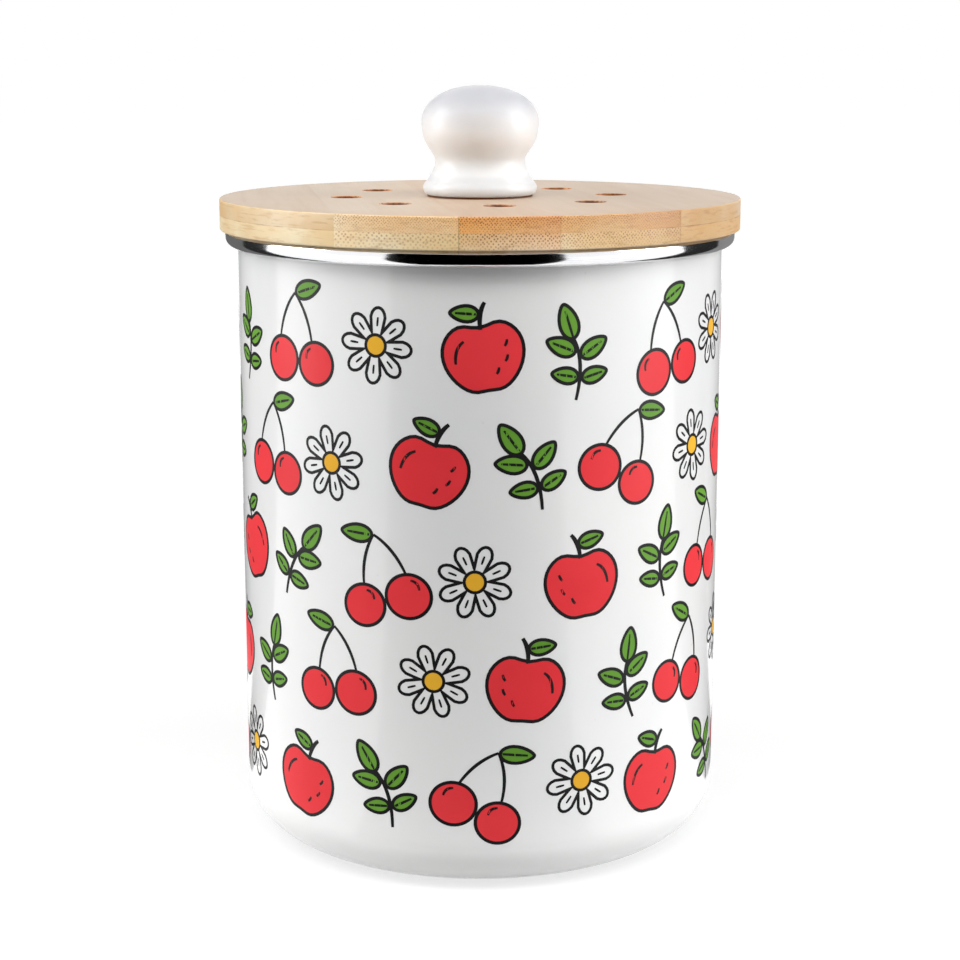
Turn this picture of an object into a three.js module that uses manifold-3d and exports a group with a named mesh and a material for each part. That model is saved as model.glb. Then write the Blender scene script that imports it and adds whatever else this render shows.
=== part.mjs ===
// Kitchen compost caddy: a coated steel canister with a bright rim band, a two-ply lid glued up from
// bamboo strips with a ring of vents and a glazed knob, and a carbon filter in a slotted cage below.
// Lengths are millimetres and +Z is up. The origin is the middle of the base, on the worktop.

import * as THREE from 'three';
import { mergeVertices } from 'three/addons/utils/BufferGeometryUtils.js';
import Module from 'manifold-3d';

const wasm = await Module();
wasm.setup();

// Canister: a drawn pot whose wall turns out into a lip at the mouth.
const bodyRadius = 80.4;
const rimHeight = 203.4;
const wallThickness = 1.2;
const cornerRadius = 17.3;
const standWidth = 8;
const baseStep = 6;
const baseRise = 1.6;
const flareRadius = 3;

// Rim band: bright sheet rolled over the lip.
const bandOverhang = 4.05;
const bandHeight = 5.3;
const bandThickness = 0.6;
const bandTopRound = 1.6;
const bandLowerRound = 3;
const bandLeg = 1.9;
const lipChamfer = 0.6;
const lipClearance = 0.3;

// Lid boards, their strips, their vents and their edges.
const lidOverhang = 1.55;
const stripJointShares = [-0.62, -0.209, 0.142, 0.607];
const plyThickness = 5.1;
const boardRound = 0.5;
const ventCount = 8;
const ventPitchShare = 0.5151;
const ventRadius = 5;
const ventChamfer = 0.5;
const lidTurn = THREE.MathUtils.degToRad(7.9);

// Plug ring under the lid and the seal in its groove.
const plugGap = 3.6;
const plugWidth = 6.4;
const plugHeight = 8;
const plugChamfer = 1;
const grooveHeight = 3.6;
const grooveDepth = 2.4;
const sealClearance = 0.3;
const sealWallGap = 0.5;
const sealProud = 0.4;
const finThickness = 0.8;
const finRise = 0.6;

// Knob and what holds it.
const knobHeight = 35.5;
const ballRadius = 19.45;
const ballHeight = 23.5;
const neckRadius = 14.9;
const neckHeight = 11.2;
const footRadius = 17.75;
const footHeight = 4.4;
const flangeRadius = 18.85;
const flangeHeight = 2.1;
const flangeUnder = 1.5;
const cushionThickness = 0.6;
const cushionInset = 1.4;
const insertRadius = 4.2;
const insertLength = 14;
const insertInset = 0.3;
const insertGroove = 0.5;
const insertClearance = 0.3;
const screwRadius = 2;
const screwHeadRadius = 4;
const screwHeadHeight = 2.4;
const screwEngagement = 11;
const screwClearance = 0.3;
const washerRadius = 6;
const washerThickness = 1;

// Collar under the lid, which the filter holder pushes into, and its wood screws.
const collarGap = 0.7;
const collarFlangeWidth = 7.6;
const collarFlangeThickness = 1.6;
const collarWall = 1.6;
const collarFillet = 0.8;
const collarLeadIn = 0.5;
const collarScrewCount = 4;
const collarScrewRadius = 1.4;
const collarScrewHeadRadius = 2.4;
const collarScrewHeadHeight = 1.6;
const collarScrewLength = 6.2;
const collarScrewClearance = 0.3;

// Filter holder and pad.
const padThickness = 7;
const padClearance = 0.3;
const padChamfer = 0.8;
const padHeadGap = 0.6;
const holderClearance = 0.3;
const holderWall = 1.6;
const holderFloor = 1.8;
const holderLip = 1;
const holderFlange = 2.2;
const snapHeight = 0.2;
const snapWidth = 1.6;
const hubRadius = 11;
const spokeCount = 6;
const spokeWidth = 5;
const slotRings = 5;
const slotWidth = 3.2;
const slotLedge = 3;
const pullLength = 46;
const pullDrop = 7;
const pullThickness = 3;

// How far a cutter runs past the face it opens, and how finely round forms are cut into facets.
const cutOverrun = 1;
const wideFacets = 48;
const ringFacets = 40;
const knobFacets = 32;
const smallFacets = 16;
const screwFacets = 10;
const cornerSteps = 5;
const bendSteps = 3;
const edgeSteps = 2;
const knobSteps = 4;
const slotChord = 12;

// Radii and levels that the pieces share. Levels under the lid count down from its underside.
const bodyInner = bodyRadius - wallThickness;
const bandRadius = bodyRadius + bandOverhang;
const lidRadius = bandRadius + lidOverhang;
const ventPitchRadius = lidRadius * ventPitchShare;
const boardThickness = 2 * plyThickness;
const plugOuter = bodyInner - plugGap;
const plugInner = plugOuter - plugWidth;
const collarFlangeRadius = plugInner - collarGap;
const socketInner = collarFlangeRadius - collarFlangeWidth;
const socketOuter = socketInner + collarWall;
const collarScrewPitch = (socketOuter + collarFlangeRadius) / 2;
const collarScrewTurn = Math.PI / 3;
const holderRadius = socketInner - holderClearance;
const holderInner = holderRadius - holderWall;
const padRadius = holderInner - padClearance;
const padTop = -(washerThickness + screwHeadHeight + padHeadGap);
const floorTop = padTop - padThickness;
const holderTop = padTop + holderLip;
const screwHole = screwRadius + screwClearance;

// A corner of an outline, at a radius from the axis and a height.
function at(radius, height) {
  return new THREE.Vector2(radius, height);
}

// The corners of a round stretch of an outline, ends included, with its angles in degrees.
function arc(centreRadius, centreHeight, radius, from, to, steps) {
  return Array.from({ length: steps + 1 }, (_, i) => {
    const angle = THREE.MathUtils.degToRad(from + ((to - from) * i) / steps);
    return at(centreRadius + radius * Math.cos(angle), centreHeight + radius * Math.sin(angle));
  });
}

// Turns an outline about Z. The outline closes on itself, or starts and ends on the axis.
function revolve(outline, facets) {
  const points = [...outline];
  if (THREE.ShapeUtils.isClockWise(points)) points.reverse();
  if (points[0].x > 0) points.push(points[0].clone());
  const geometry = new THREE.LatheGeometry(points, facets);
  geometry.rotateX(Math.PI / 2);
  return geometry;
}

// Makes a solid that can be joined and cut, with the shared corners merged and slivers dropped.
function solidOf(geometry) {
  const bare = new THREE.BufferGeometry();
  bare.setAttribute('position', geometry.getAttribute('position'));
  bare.setIndex(geometry.getIndex());
  const merged = mergeVertices(bare);
  const index = merged.getIndex().array;
  const triangles = [];
  for (let i = 0; i < index.length; i += 3) {
    const [a, b, c] = index.subarray(i, i + 3);
    if (a !== b && b !== c && c !== a) triangles.push(a, b, c);
  }
  return new wasm.Manifold(new wasm.Mesh({
    numProp: 3,
    vertProperties: Float32Array.from(merged.getAttribute('position').array),
    triVerts: Uint32Array.from(triangles),
  }));
}

function geometryOf(solid) {
  const mesh = solid.getMesh();
  const geometry = new THREE.BufferGeometry();
  geometry.setAttribute('position', new THREE.BufferAttribute(mesh.vertProperties, 3));
  geometry.setIndex(new THREE.BufferAttribute(mesh.triVerts, 1));
  return geometry;
}

// Cuts every tool out of one blank.
function cut(blank, tools) {
  const solid = tools.reduce((rest, tool) => rest.subtract(solidOf(tool)), solidOf(blank));
  return geometryOf(solid);
}

// Joins every addition to one base.
function join(base, additions) {
  const solid = additions.reduce((whole, piece) => whole.add(solidOf(piece)), solidOf(base));
  return geometryOf(solid);
}

// Calls make once for each place of a ring and moves what it returns out to that place.
function aroundRing(count, radius, start, make) {
  return Array.from({ length: count }, (_, i) => {
    const angle = start + (i * 2 * Math.PI) / count;
    return make(i).translate(radius * Math.cos(angle), radius * Math.sin(angle), 0);
  });
}

function flatRing(inner, outer, bottom, top) {
  return [at(inner, bottom), at(outer, bottom), at(outer, top), at(inner, top)];
}

function rod(radius, bottom, top, facets) {
  return revolve(flatRing(0, radius, bottom, top), facets);
}

// Canister pieces

function canisterShell() {
  const standOuter = bodyRadius - cornerRadius;
  const standInner = standOuter - standWidth;
  const panelEdge = standInner - baseStep;
  const lipRadius = bandRadius - bandThickness - lipClearance;
  const lipTop = rimHeight - bandThickness - lipClearance;
  const flareCentre = bodyInner + flareRadius;
  const flareLevel = lipTop - flareRadius;
  return revolve([
    at(0, baseRise),
    at(panelEdge, baseRise),
    at(standInner, 0),
    ...arc(standOuter, cornerRadius, cornerRadius, -90, 0, cornerSteps),
    ...arc(flareCentre, flareLevel, flareRadius - wallThickness, 180, 90, bendSteps),
    at(lipRadius, lipTop - wallThickness),
    at(lipRadius, lipTop - lipChamfer),
    at(lipRadius - lipChamfer, lipTop),
    ...arc(flareCentre, flareLevel, flareRadius, 90, 180, bendSteps),
    ...arc(standOuter, cornerRadius, cornerRadius - wallThickness, 0, -90, cornerSteps),
    at(standInner, wallThickness),
    at(panelEdge, baseRise + wallThickness),
    at(0, baseRise + wallThickness),
  ], wideFacets);
}

function rimBand() {
  const bottom = rimHeight - bandHeight;
  const topStart = bodyInner + bandTopRound;
  const topEnd = bandRadius - bandTopRound;
  const topLevel = rimHeight - bandTopRound;
  const lowStart = bandRadius - bandLowerRound;
  const lowLevel = bottom + bandLowerRound;
  const lowEdge = bodyRadius + lipClearance;
  const innerTopRound = bandTopRound - bandThickness;
  return revolve([
    at(bodyInner, rimHeight - bandLeg),
    ...arc(topStart, topLevel, bandTopRound, 180, 90, edgeSteps),
    ...arc(topEnd, topLevel, bandTopRound, 90, 0, edgeSteps),
    ...arc(lowStart, lowLevel, bandLowerRound, 0, -90, bendSteps),
    at(lowEdge, bottom),
    at(lowEdge, bottom + bandThickness),
    ...arc(lowStart, lowLevel, bandLowerRound - bandThickness, -90, 0, bendSteps),
    ...arc(topEnd, topLevel, innerTopRound, 0, 90, edgeSteps),
    ...arc(topStart, topLevel, innerTopRound, 90, 180, edgeSteps),
    at(bodyInner + bandThickness, rimHeight - bandLeg),
  ], wideFacets);
}

// Lid pieces, with heights from the lid's underside

function ventCutters() {
  const mouth = ventRadius + ventChamfer;
  return aroundRing(ventCount, ventPitchRadius, 0, () => revolve([
    at(0, -cutOverrun),
    at(ventRadius, -cutOverrun),
    at(ventRadius, boardThickness - ventChamfer),
    at(mouth, boardThickness),
    at(mouth, boardThickness + cutOverrun),
    at(0, boardThickness + cutOverrun),
  ], smallFacets));
}

function topPly() {
  const edge = lidRadius - boardRound;
  const blank = revolve([
    at(screwHole, plyThickness),
    at(lidRadius, plyThickness),
    ...arc(edge, boardThickness - boardRound, boardRound, 0, 90, edgeSteps),
    at(screwHole, boardThickness),
  ], wideFacets);
  return stripsOf(cut(blank, ventCutters()));
}

function bottomPly() {
  const blank = revolve([
    at(screwHole, 0),
    ...arc(lidRadius - boardRound, boardRound, boardRound, -90, 0, edgeSteps),
    at(lidRadius, plyThickness),
    at(screwHole, plyThickness),
  ], wideFacets);
  const pilotTop = collarScrewLength - collarFlangeThickness + collarScrewClearance;
  const pilotRadius = collarScrewRadius + collarScrewClearance;
  const pilots = aroundRing(collarScrewCount, collarScrewPitch, collarScrewTurn,
    () => rod(pilotRadius, -cutOverrun, pilotTop, screwFacets));
  return stripsOf(cut(blank, [...ventCutters(), ...pilots]));
}

// The strips that a board is glued up from, left to right, with their grain along Y.
function stripsOf(board) {
  const solid = solidOf(board);
  const reach = lidRadius + cutOverrun;
  const height = 2 * (boardThickness + cutOverrun);
  const joints = [-reach, ...stripJointShares.map((share) => share * lidRadius), reach];
  return joints.slice(1).map((right, i) => {
    const slab = new THREE.BoxGeometry(right - joints[i], 2 * reach, height);
    slab.translate((right + joints[i]) / 2, 0, 0);
    return geometryOf(solid.intersect(solidOf(slab)));
  });
}

function plugRing() {
  const grooveLow = -(plugHeight + grooveHeight) / 2;
  const grooveHigh = grooveLow + grooveHeight;
  const grooveFloor = plugOuter - grooveDepth;
  return revolve([
    at(plugInner, -plugHeight),
    at(plugOuter - plugChamfer, -plugHeight),
    at(plugOuter, plugChamfer - plugHeight),
    at(plugOuter, grooveLow),
    at(grooveFloor, grooveLow),
    at(grooveFloor, grooveHigh),
    at(plugOuter, grooveHigh),
    at(plugOuter, 0),
    at(plugInner, 0),
  ], ringFacets);
}

function sealRing() {
  const middle = -plugHeight / 2;
  const halfBase = grooveHeight / 2 - sealClearance;
  const back = plugOuter - grooveDepth + sealClearance;
  const front = plugOuter + sealProud;
  const tip = bodyInner - sealWallGap;
  const fin = (level) => [
    at(front, level),
    at(tip, level + finRise),
    at(tip, level + finRise + finThickness / 2),
    at(front, level + finThickness),
  ];
  return revolve([
    at(back, middle - halfBase),
    ...fin(middle - halfBase),
    ...fin(middle + halfBase - finThickness),
    at(back, middle + halfBase),
  ], ringFacets);
}

// Knob pieces, with the knob's heights from its own foot

// The corners of a curve through two handles, without its first point.
function sweep(start, handleOne, handleTwo, end) {
  return new THREE.CubicBezierCurve(start, handleOne, handleTwo, end).getPoints(knobSteps).slice(1);
}

function knobBody() {
  const boreRadius = insertRadius + insertClearance;
  const boreTop = insertInset + insertLength + insertClearance;
  const roundShare = 0.6;
  const waistInShare = 0.44;
  const waistLiftShare = 0.35;
  const waistDropShare = 0.41;
  const neckLiftShare = 0.22;
  const ballDropShare = 0.63;
  const waistRun = neckHeight - footHeight;
  const ballRun = ballHeight - neckHeight;
  const crownRun = knobHeight - ballHeight;
  const flange = at(flangeRadius, flangeHeight);
  const foot = at(footRadius, footHeight);
  const neck = at(neckRadius, neckHeight);
  const ball = at(ballRadius, ballHeight);
  const base = at(flangeRadius - flangeUnder, 0);
  return revolve([
    at(0, boreTop),
    at(boreRadius, boreTop),
    at(boreRadius, 0),
    base,
    at(flangeRadius - flangeUnder / 4, flangeHeight / 4),
    flange,
    at(flangeRadius - (flangeRadius - footRadius) / 4, (flangeHeight + 2 * footHeight) / 3),
    foot,
    ...sweep(foot,
      at(footRadius - (footRadius - neckRadius) * waistInShare, footHeight + waistRun * waistLiftShare),
      at(neckRadius, neckHeight - waistRun * waistDropShare),
      neck),
    ...sweep(neck,
      at(neckRadius, neckHeight + ballRun * neckLiftShare),
      at(ballRadius, ballHeight - ballRun * ballDropShare),
      ball),
    ...sweep(ball,
      at(ballRadius, ballHeight + crownRun * roundShare),
      at(ballRadius * roundShare, knobHeight),
      at(0, knobHeight)),
  ], knobFacets);
}

// A brass tube with two waists that the cement grips.
function threadedInsert() {
  const bands = 5;
  const outline = [at(screwHole, insertLength), at(screwHole, 0)];
  for (let band = 0; band < bands; band += 1) {
    const radius = insertRadius - (band % 2) * insertGroove;
    outline.push(at(radius, (insertLength * band) / bands));
    outline.push(at(radius, (insertLength * (band + 1)) / bands));
  }
  return revolve(outline, smallFacets);
}

// A pan-head screw, head down, with the underside of its head at zero. Each angle cuts a slot.
function panHeadScrew({ headRadius, headHeight, shankRadius, length, tipLength, tipRadius, facets, slots }) {
  const edgeShare = 0.5;
  const slotShare = 0.22;
  const recessShare = 0.5;
  const blank = revolve([
    at(0, -headHeight),
    at(headRadius * edgeShare, -headHeight),
    at(headRadius, -headHeight * edgeShare),
    at(headRadius, 0),
    at(shankRadius, 0),
    at(shankRadius, length - tipLength),
    at(tipRadius, length),
    at(0, length),
  ], facets);
  const cutters = slots.map((angle) => {
    const slot = new THREE.BoxGeometry(headRadius, headRadius * slotShare, headHeight * 2 * recessShare);
    return slot.rotateZ(angle).translate(0, 0, -headHeight);
  });
  return cut(blank, cutters);
}

// Filter collar, holder and pad, with levels from the lid's underside

// The level of the holder's snap ridge and of the groove that it springs into.
function snapLevel() {
  return (floorTop + holderTop) / 2;
}

function filterCollar() {
  const grooveHalf = snapWidth / 2 + holderClearance;
  const blank = revolve([
    at(socketInner, 0),
    at(collarFlangeRadius, 0),
    at(collarFlangeRadius, -collarFlangeThickness),
    at(socketOuter + collarFillet, -collarFlangeThickness),
    at(socketOuter, -collarFlangeThickness - collarFillet),
    at(socketOuter, floorTop),
    at(socketInner + collarLeadIn, floorTop),
    at(socketInner, floorTop + collarLeadIn),
    at(socketInner, snapLevel() - grooveHalf),
    at(socketInner + snapHeight, snapLevel()),
    at(socketInner, snapLevel() + grooveHalf),
  ], ringFacets);
  const holeRadius = collarScrewRadius + collarScrewClearance;
  const holes = aroundRing(collarScrewCount, collarScrewPitch, collarScrewTurn,
    () => rod(holeRadius, -collarFlangeThickness - cutOverrun, cutOverrun, screwFacets));
  return cut(blank, holes);
}

function filterHolder() {
  const bottom = floorTop - holderFloor;
  const flangeReach = holderRadius + holderFlange;
  const wall = revolve([
    at(holderInner, bottom),
    at(flangeReach, bottom),
    at(flangeReach, floorTop),
    at(holderRadius, floorTop),
    at(holderRadius, snapLevel() - snapWidth / 2),
    at(holderRadius + snapHeight, snapLevel()),
    at(holderRadius, snapLevel() + snapWidth / 2),
    at(holderRadius, holderTop),
    at(holderInner, holderTop),
  ], ringFacets);
  return join(wall, [slottedFloor(bottom), pullBar(bottom)]);
}

// The floor plate, with rings of curved slots between straight spokes. Its edge ends inside the wall.
function slottedFloor(bottom) {
  const plate = new THREE.Shape(arc(0, 0, (holderInner + holderRadius) / 2, 0, 360, ringFacets).slice(1));
  const first = hubRadius + slotWidth / 2;
  const last = padRadius - slotLedge - slotWidth / 2;
  const sector = 360 / spokeCount;
  for (let ring = 0; ring < slotRings; ring += 1) {
    const radius = first + ((last - first) * ring) / (slotRings - 1);
    const edge = THREE.MathUtils.radToDeg(Math.asin((spokeWidth + slotWidth) / 2 / radius));
    for (let spoke = 0; spoke < spokeCount; spoke += 1) {
      const slot = curvedSlot(radius, spoke * sector + edge, (spoke + 1) * sector - edge);
      plate.holes.push(new THREE.Path(slot));
    }
  }
  const geometry = new THREE.ExtrudeGeometry(plate, { depth: holderFloor, bevelEnabled: false });
  return geometry.translate(0, 0, bottom);
}

// The outline of a slot along an arc, with a round at each end.
function curvedSlot(radius, start, end) {
  const half = slotWidth / 2;
  const length = radius * THREE.MathUtils.degToRad(end - start);
  const steps = Math.max(edgeSteps, Math.ceil(length / slotChord));
  const middle = (angle) => arc(0, 0, radius, angle, angle, 1)[0];
  const round = (angle, turn) => {
    const centre = middle(angle);
    return arc(centre.x, centre.y, half, angle + turn, angle + turn + 180, edgeSteps).slice(1, -1);
  };
  return [
    ...arc(0, 0, radius + half, start, end, steps),
    ...round(end, 0),
    ...arc(0, 0, radius - half, end, start, steps),
    ...round(start, 180),
  ];
}

// The finger bar across the cage's underside, along two facing spokes, deepest in the middle.
function pullBar(bottom) {
  const half = pullLength / 2;
  const outline = new THREE.Shape();
  outline.moveTo(-half, 0);
  outline.bezierCurveTo(-half / 2, 0, -half / 2, -pullDrop, 0, -pullDrop);
  outline.bezierCurveTo(half / 2, -pullDrop, half / 2, 0, half, 0);
  outline.lineTo(half, holderFloor / 2);
  outline.lineTo(-half, holderFloor / 2);
  outline.closePath();
  const options = { depth: pullThickness, bevelEnabled: false, curveSegments: cornerSteps };
  const bar = new THREE.ExtrudeGeometry(outline, options);
  bar.translate(0, 0, -pullThickness / 2);
  bar.rotateX(Math.PI / 2);
  return bar.translate(0, 0, bottom);
}

function filterPad() {
  return revolve([
    at(0, floorTop),
    at(padRadius - padChamfer, floorTop),
    at(padRadius, floorTop + padChamfer),
    at(padRadius, padTop - padChamfer),
    at(padRadius - padChamfer, padTop),
    at(0, padTop),
  ], ringFacets);
}

// Materials and assembly

function finish(color, roughness, metalness) {
  return new THREE.MeshStandardMaterial({ color, roughness, metalness, flatShading: true });
}

const enamel = finish(0xf6f6f4, 0.18, 0);
const brightSteel = finish(0xd6d7d9, 0.08, 1);
const bamboo = finish(0xe3bf8e, 0.5, 0);
const glaze = finish(0xf0eeea, 0.1, 0);
const silicone = finish(0xe9e6df, 0.6, 0);
const rubber = finish(0x6b4a33, 0.7, 0);
const brass = finish(0xc9a45c, 0.3, 1);
const zincSteel = finish(0xb9bcc0, 0.35, 1);
const plastic = finish(0xf1f1ee, 0.45, 0);
const carbon = finish(0x1c1c1e, 0.95, 0);

function piece(name, geometry, material) {
  const mesh = new THREE.Mesh(geometry, material);
  mesh.name = name;
  return mesh;
}

function buildCanister() {
  const canister = new THREE.Group();
  canister.add(piece('canister_shell', canisterShell(), enamel));
  canister.add(piece('rim_band', rimBand(), brightSteel));
  return canister;
}

function buildKnob() {
  const cushion = flatRing(screwHole, flangeRadius - cushionInset, 0, cushionThickness);
  const shell = piece('knob', knobBody(), glaze);
  const insert = piece('knob_insert', threadedInsert(), brass);
  shell.position.z = cushionThickness;
  insert.position.z = cushionThickness + insertInset;
  const knob = new THREE.Group();
  knob.add(piece('knob_cushion', revolve(cushion, knobFacets), rubber));
  knob.add(shell, insert);
  knob.position.z = boardThickness;
  return knob;
}

function buildKnobFixing() {
  const length = washerThickness + boardThickness + cushionThickness + insertInset + screwEngagement;
  const washer = flatRing(screwHole, washerRadius, -washerThickness, 0);
  const form = panHeadScrew({
    headRadius: screwHeadRadius,
    headHeight: screwHeadHeight,
    shankRadius: screwRadius,
    length,
    tipLength: screwRadius / 4,
    tipRadius: (3 * screwRadius) / 4,
    facets: smallFacets,
    slots: [0, Math.PI / 2],
  });
  const screw = piece('knob_screw', form, zincSteel);
  screw.position.z = -washerThickness;
  const fixing = new THREE.Group();
  fixing.add(piece('knob_washer', revolve(washer, smallFacets), zincSteel));
  fixing.add(screw);
  return fixing;
}

function buildCollar() {
  const collar = new THREE.Group();
  collar.add(piece('filter_collar', filterCollar(), plastic));
  for (let i = 0; i < collarScrewCount; i += 1) {
    const angle = collarScrewTurn + (i * 2 * Math.PI) / collarScrewCount;
    const form = panHeadScrew({
      headRadius: collarScrewHeadRadius,
      headHeight: collarScrewHeadHeight,
      shankRadius: collarScrewRadius,
      length: collarScrewLength,
      tipLength: 2 * collarScrewRadius,
      tipRadius: collarScrewRadius / 4,
      facets: screwFacets,
      slots: [0],
    });
    const screw = piece(`collar_screw_${i + 1}`, form, zincSteel);
    screw.position.x = collarScrewPitch * Math.cos(angle);
    screw.position.y = collarScrewPitch * Math.sin(angle);
    screw.position.z = -collarFlangeThickness;
    collar.add(screw);
  }
  return collar;
}

function buildFilter() {
  const filter = new THREE.Group();
  filter.add(piece('filter_holder', filterHolder(), plastic));
  filter.add(piece('filter_pad', filterPad(), carbon));
  return filter;
}

function buildLid() {
  const lid = new THREE.Group();
  topPly().forEach((strip, i) => lid.add(piece(`lid_top_strip_${i + 1}`, strip, bamboo)));
  bottomPly().forEach((strip, i) => lid.add(piece(`lid_bottom_strip_${i + 1}`, strip, bamboo)));
  lid.add(piece('lid_plug_ring', plugRing(), bamboo));
  lid.add(piece('lid_seal', sealRing(), silicone));
  lid.add(buildKnob(), buildKnobFixing(), buildCollar(), buildFilter());
  lid.position.z = rimHeight;
  lid.rotation.z = lidTurn;
  return lid;
}

const caddy = new THREE.Group();
caddy.add(buildCanister(), buildLid());

export default caddy;
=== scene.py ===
"""Kitchen compost caddy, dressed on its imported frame.

Sizes in the classes are millimetres, in the frame's own axes, and meshes become metres at the end.
"""

import logging
import math
from dataclasses import dataclass, field
from enum import Enum
from functools import reduce
from typing import Iterable, Sequence

import bmesh
import bpy
from bmesh.types import BMEdge, BMesh, BMFace, BMVert
from bpy.types import Material, Mesh, MeshPolygon, NodeSocket, NodeTree, Object, ShaderNode
from mathutils import Matrix, Vector, noise
from mathutils.geometry import interpolate_bezier


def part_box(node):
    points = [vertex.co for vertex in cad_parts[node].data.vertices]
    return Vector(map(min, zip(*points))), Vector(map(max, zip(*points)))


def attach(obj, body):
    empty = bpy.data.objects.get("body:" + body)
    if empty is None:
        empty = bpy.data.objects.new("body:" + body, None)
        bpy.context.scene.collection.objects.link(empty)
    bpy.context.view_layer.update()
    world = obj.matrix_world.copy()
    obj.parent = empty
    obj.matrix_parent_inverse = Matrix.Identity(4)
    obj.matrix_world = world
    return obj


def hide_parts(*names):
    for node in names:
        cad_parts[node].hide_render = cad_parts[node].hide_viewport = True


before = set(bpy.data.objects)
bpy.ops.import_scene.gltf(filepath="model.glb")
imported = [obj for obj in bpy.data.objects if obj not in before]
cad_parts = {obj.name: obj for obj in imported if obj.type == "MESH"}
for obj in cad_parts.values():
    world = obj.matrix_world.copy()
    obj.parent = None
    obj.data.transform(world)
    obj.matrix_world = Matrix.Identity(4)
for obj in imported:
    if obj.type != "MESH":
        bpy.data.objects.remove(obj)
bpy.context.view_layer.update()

MM = 0.001
SMOOTH_LIMIT = math.radians(32)
WELD = 1e-4
LID_TURN = math.radians(7.9)
BODY_RADIUS = 80.4
SCREW_HOLE = 2.3
COLLAR_HOLE = 1.7

Color = tuple[float, float, float, float]
Screen = tuple[int, int, int]
Point = tuple[float, float]
Outline = Sequence[tuple[float, ...]]

logging.basicConfig(level=logging.INFO, format="%(message)s")
log = logging.getLogger("caddy")


class Body(Enum):
    """The moving bodies of the frame."""

    CANISTER = "canister"
    LID = "lid"
    FILTER = "filter"


class Slot(Enum):
    """The finishes that the pieces take."""

    ENAMEL = "white_enamel"
    STEEL = "polished_steel"
    BAMBOO = "bamboo"
    SILICONE = "silicone"
    GLAZE = "white_glaze"
    RUBBER = "brown_rubber"
    BRASS = "brass"
    ZINC = "zinc_steel"
    PLASTIC = "white_plastic"
    CARBON = "carbon_pad"


# Mesh tools


@dataclass(frozen=True)
class Corner:
    """A corner of a turned outline: radius from the axis, height, and the radius it is rounded to."""

    radius: float
    height: float
    round: float = 0.0
    steps: int = 6


@dataclass(frozen=True)
class Curve:
    """A curve of an outline: where it ends, how far along its own width and height each of its two
    handles is, and its steps.
    """

    end: Point
    near: Point
    far: Point
    steps: int

    def corners(self, start: Point) -> list[Point]:
        """The corners after its start.

        Args:
            start: Where the curve starts, as radius and height.

        Returns:
            The corners in order, up to the curve's end.
        """
        handles = [[a + (b - a) * share for a, b, share in zip(start, self.end, shares)]
                   for shares in (self.near, self.far)]
        knots = interpolate_bezier(*[Vector((*point, 0.0)) for point in (start, *handles, self.end)], self.steps + 1)
        return [(knot.x, knot.y) for knot in knots[1:]]


def bottom_of(node: str) -> float:
    """The level of a CAD node's underside at rest."""
    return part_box(node)[0].z / MM


def top_of(node: str) -> float:
    """The level of a CAD node's top at rest."""
    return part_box(node)[1].z / MM


def reach_of(node: str) -> float:
    """How far a CAD node reaches from the axis."""
    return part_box(node)[1].x / MM


def around(count: int, radius: float, start: float) -> list[Vector]:
    """Evenly spaced places on a circle at height zero, the first at the angle start."""
    angles = [start + i * math.tau / count for i in range(count)]
    return [Vector((radius * math.cos(a), radius * math.sin(a), 0.0)) for a in angles]


def collar_screws() -> list[Vector]:
    """Where the four screws go that hold the filter's collar."""
    return around(4, 65.5, math.radians(60) + LID_TURN)


def picked(geom: Iterable[object], kind: type) -> list:
    """The elements of one kind in an operator's result."""
    return [item for item in geom if isinstance(item, kind)]


def whole(bm: BMesh) -> list:
    """Every element of a mesh."""
    return bm.verts[:] + bm.edges[:] + bm.faces[:]


def turned(outline: Outline, segments: int, closed: bool = True) -> BMesh:
    """Turns an outline about Z into a closed solid.

    Args:
        outline: Its corners in order, each with the fields of Corner.
        segments: How many steps go round.
        closed: True if the outline closes on itself, False if it starts and ends on the axis.

    Returns:
        A new mesh in millimetres.
    """
    bm = bmesh.new()
    corners = [Corner(*entry) for entry in outline]
    verts = [bm.verts.new((corner.radius, 0.0, corner.height)) for corner in corners]
    for first, second in zip(verts, verts[1:]):
        bm.edges.new((first, second))
    if closed:
        bm.edges.new((verts[-1], verts[0]))
    for vert, corner in zip(verts, corners):
        if corner.round:
            arms = [edge.other_vert(vert).co - vert.co for edge in vert.link_edges]
            offset = corner.round / math.tan(arms[0].angle(arms[1]) / 2)
            bmesh.ops.bevel(bm, geom=[vert], offset=offset, offset_type="OFFSET", segments=corner.steps,
                            profile=0.5, affect="VERTICES", material=-1)
    bmesh.ops.spin(bm, geom=bm.verts[:] + bm.edges[:], cent=(0, 0, 0), axis=(0, 0, 1), angle=math.tau,
                   steps=segments, use_merge=True)
    bmesh.ops.remove_doubles(bm, verts=bm.verts, dist=WELD)
    bmesh.ops.recalc_face_normals(bm, faces=bm.faces)
    return bm


def moved(bm: BMesh, matrix: Matrix) -> BMesh:
    """Moves a whole mesh by a matrix and returns it."""
    bmesh.ops.transform(bm, matrix=matrix, verts=bm.verts)
    return bm


def drills(spots: Iterable[Vector], outline: Outline, segments: int) -> list[BMesh]:
    """Cutters turned from one outline, one at each place."""
    return [moved(turned(outline, segments, closed=False), Matrix.Translation(spot)) for spot in spots]


def stored(name: str, bm: BMesh) -> Mesh:
    """Keeps a mesh as data.

    Args:
        name: The data's name.
        bm: The mesh, which is freed.

    Returns:
        The data.
    """
    mesh = bpy.data.meshes.new(name)
    bm.to_mesh(mesh)
    bm.free()
    return mesh


def copied(mesh: Mesh) -> BMesh:
    """Makes an editable copy of mesh data.

    Args:
        mesh: The data, which stays.

    Returns:
        The copy.
    """
    bm = bmesh.new()
    bm.from_mesh(mesh)
    return bm


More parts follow.
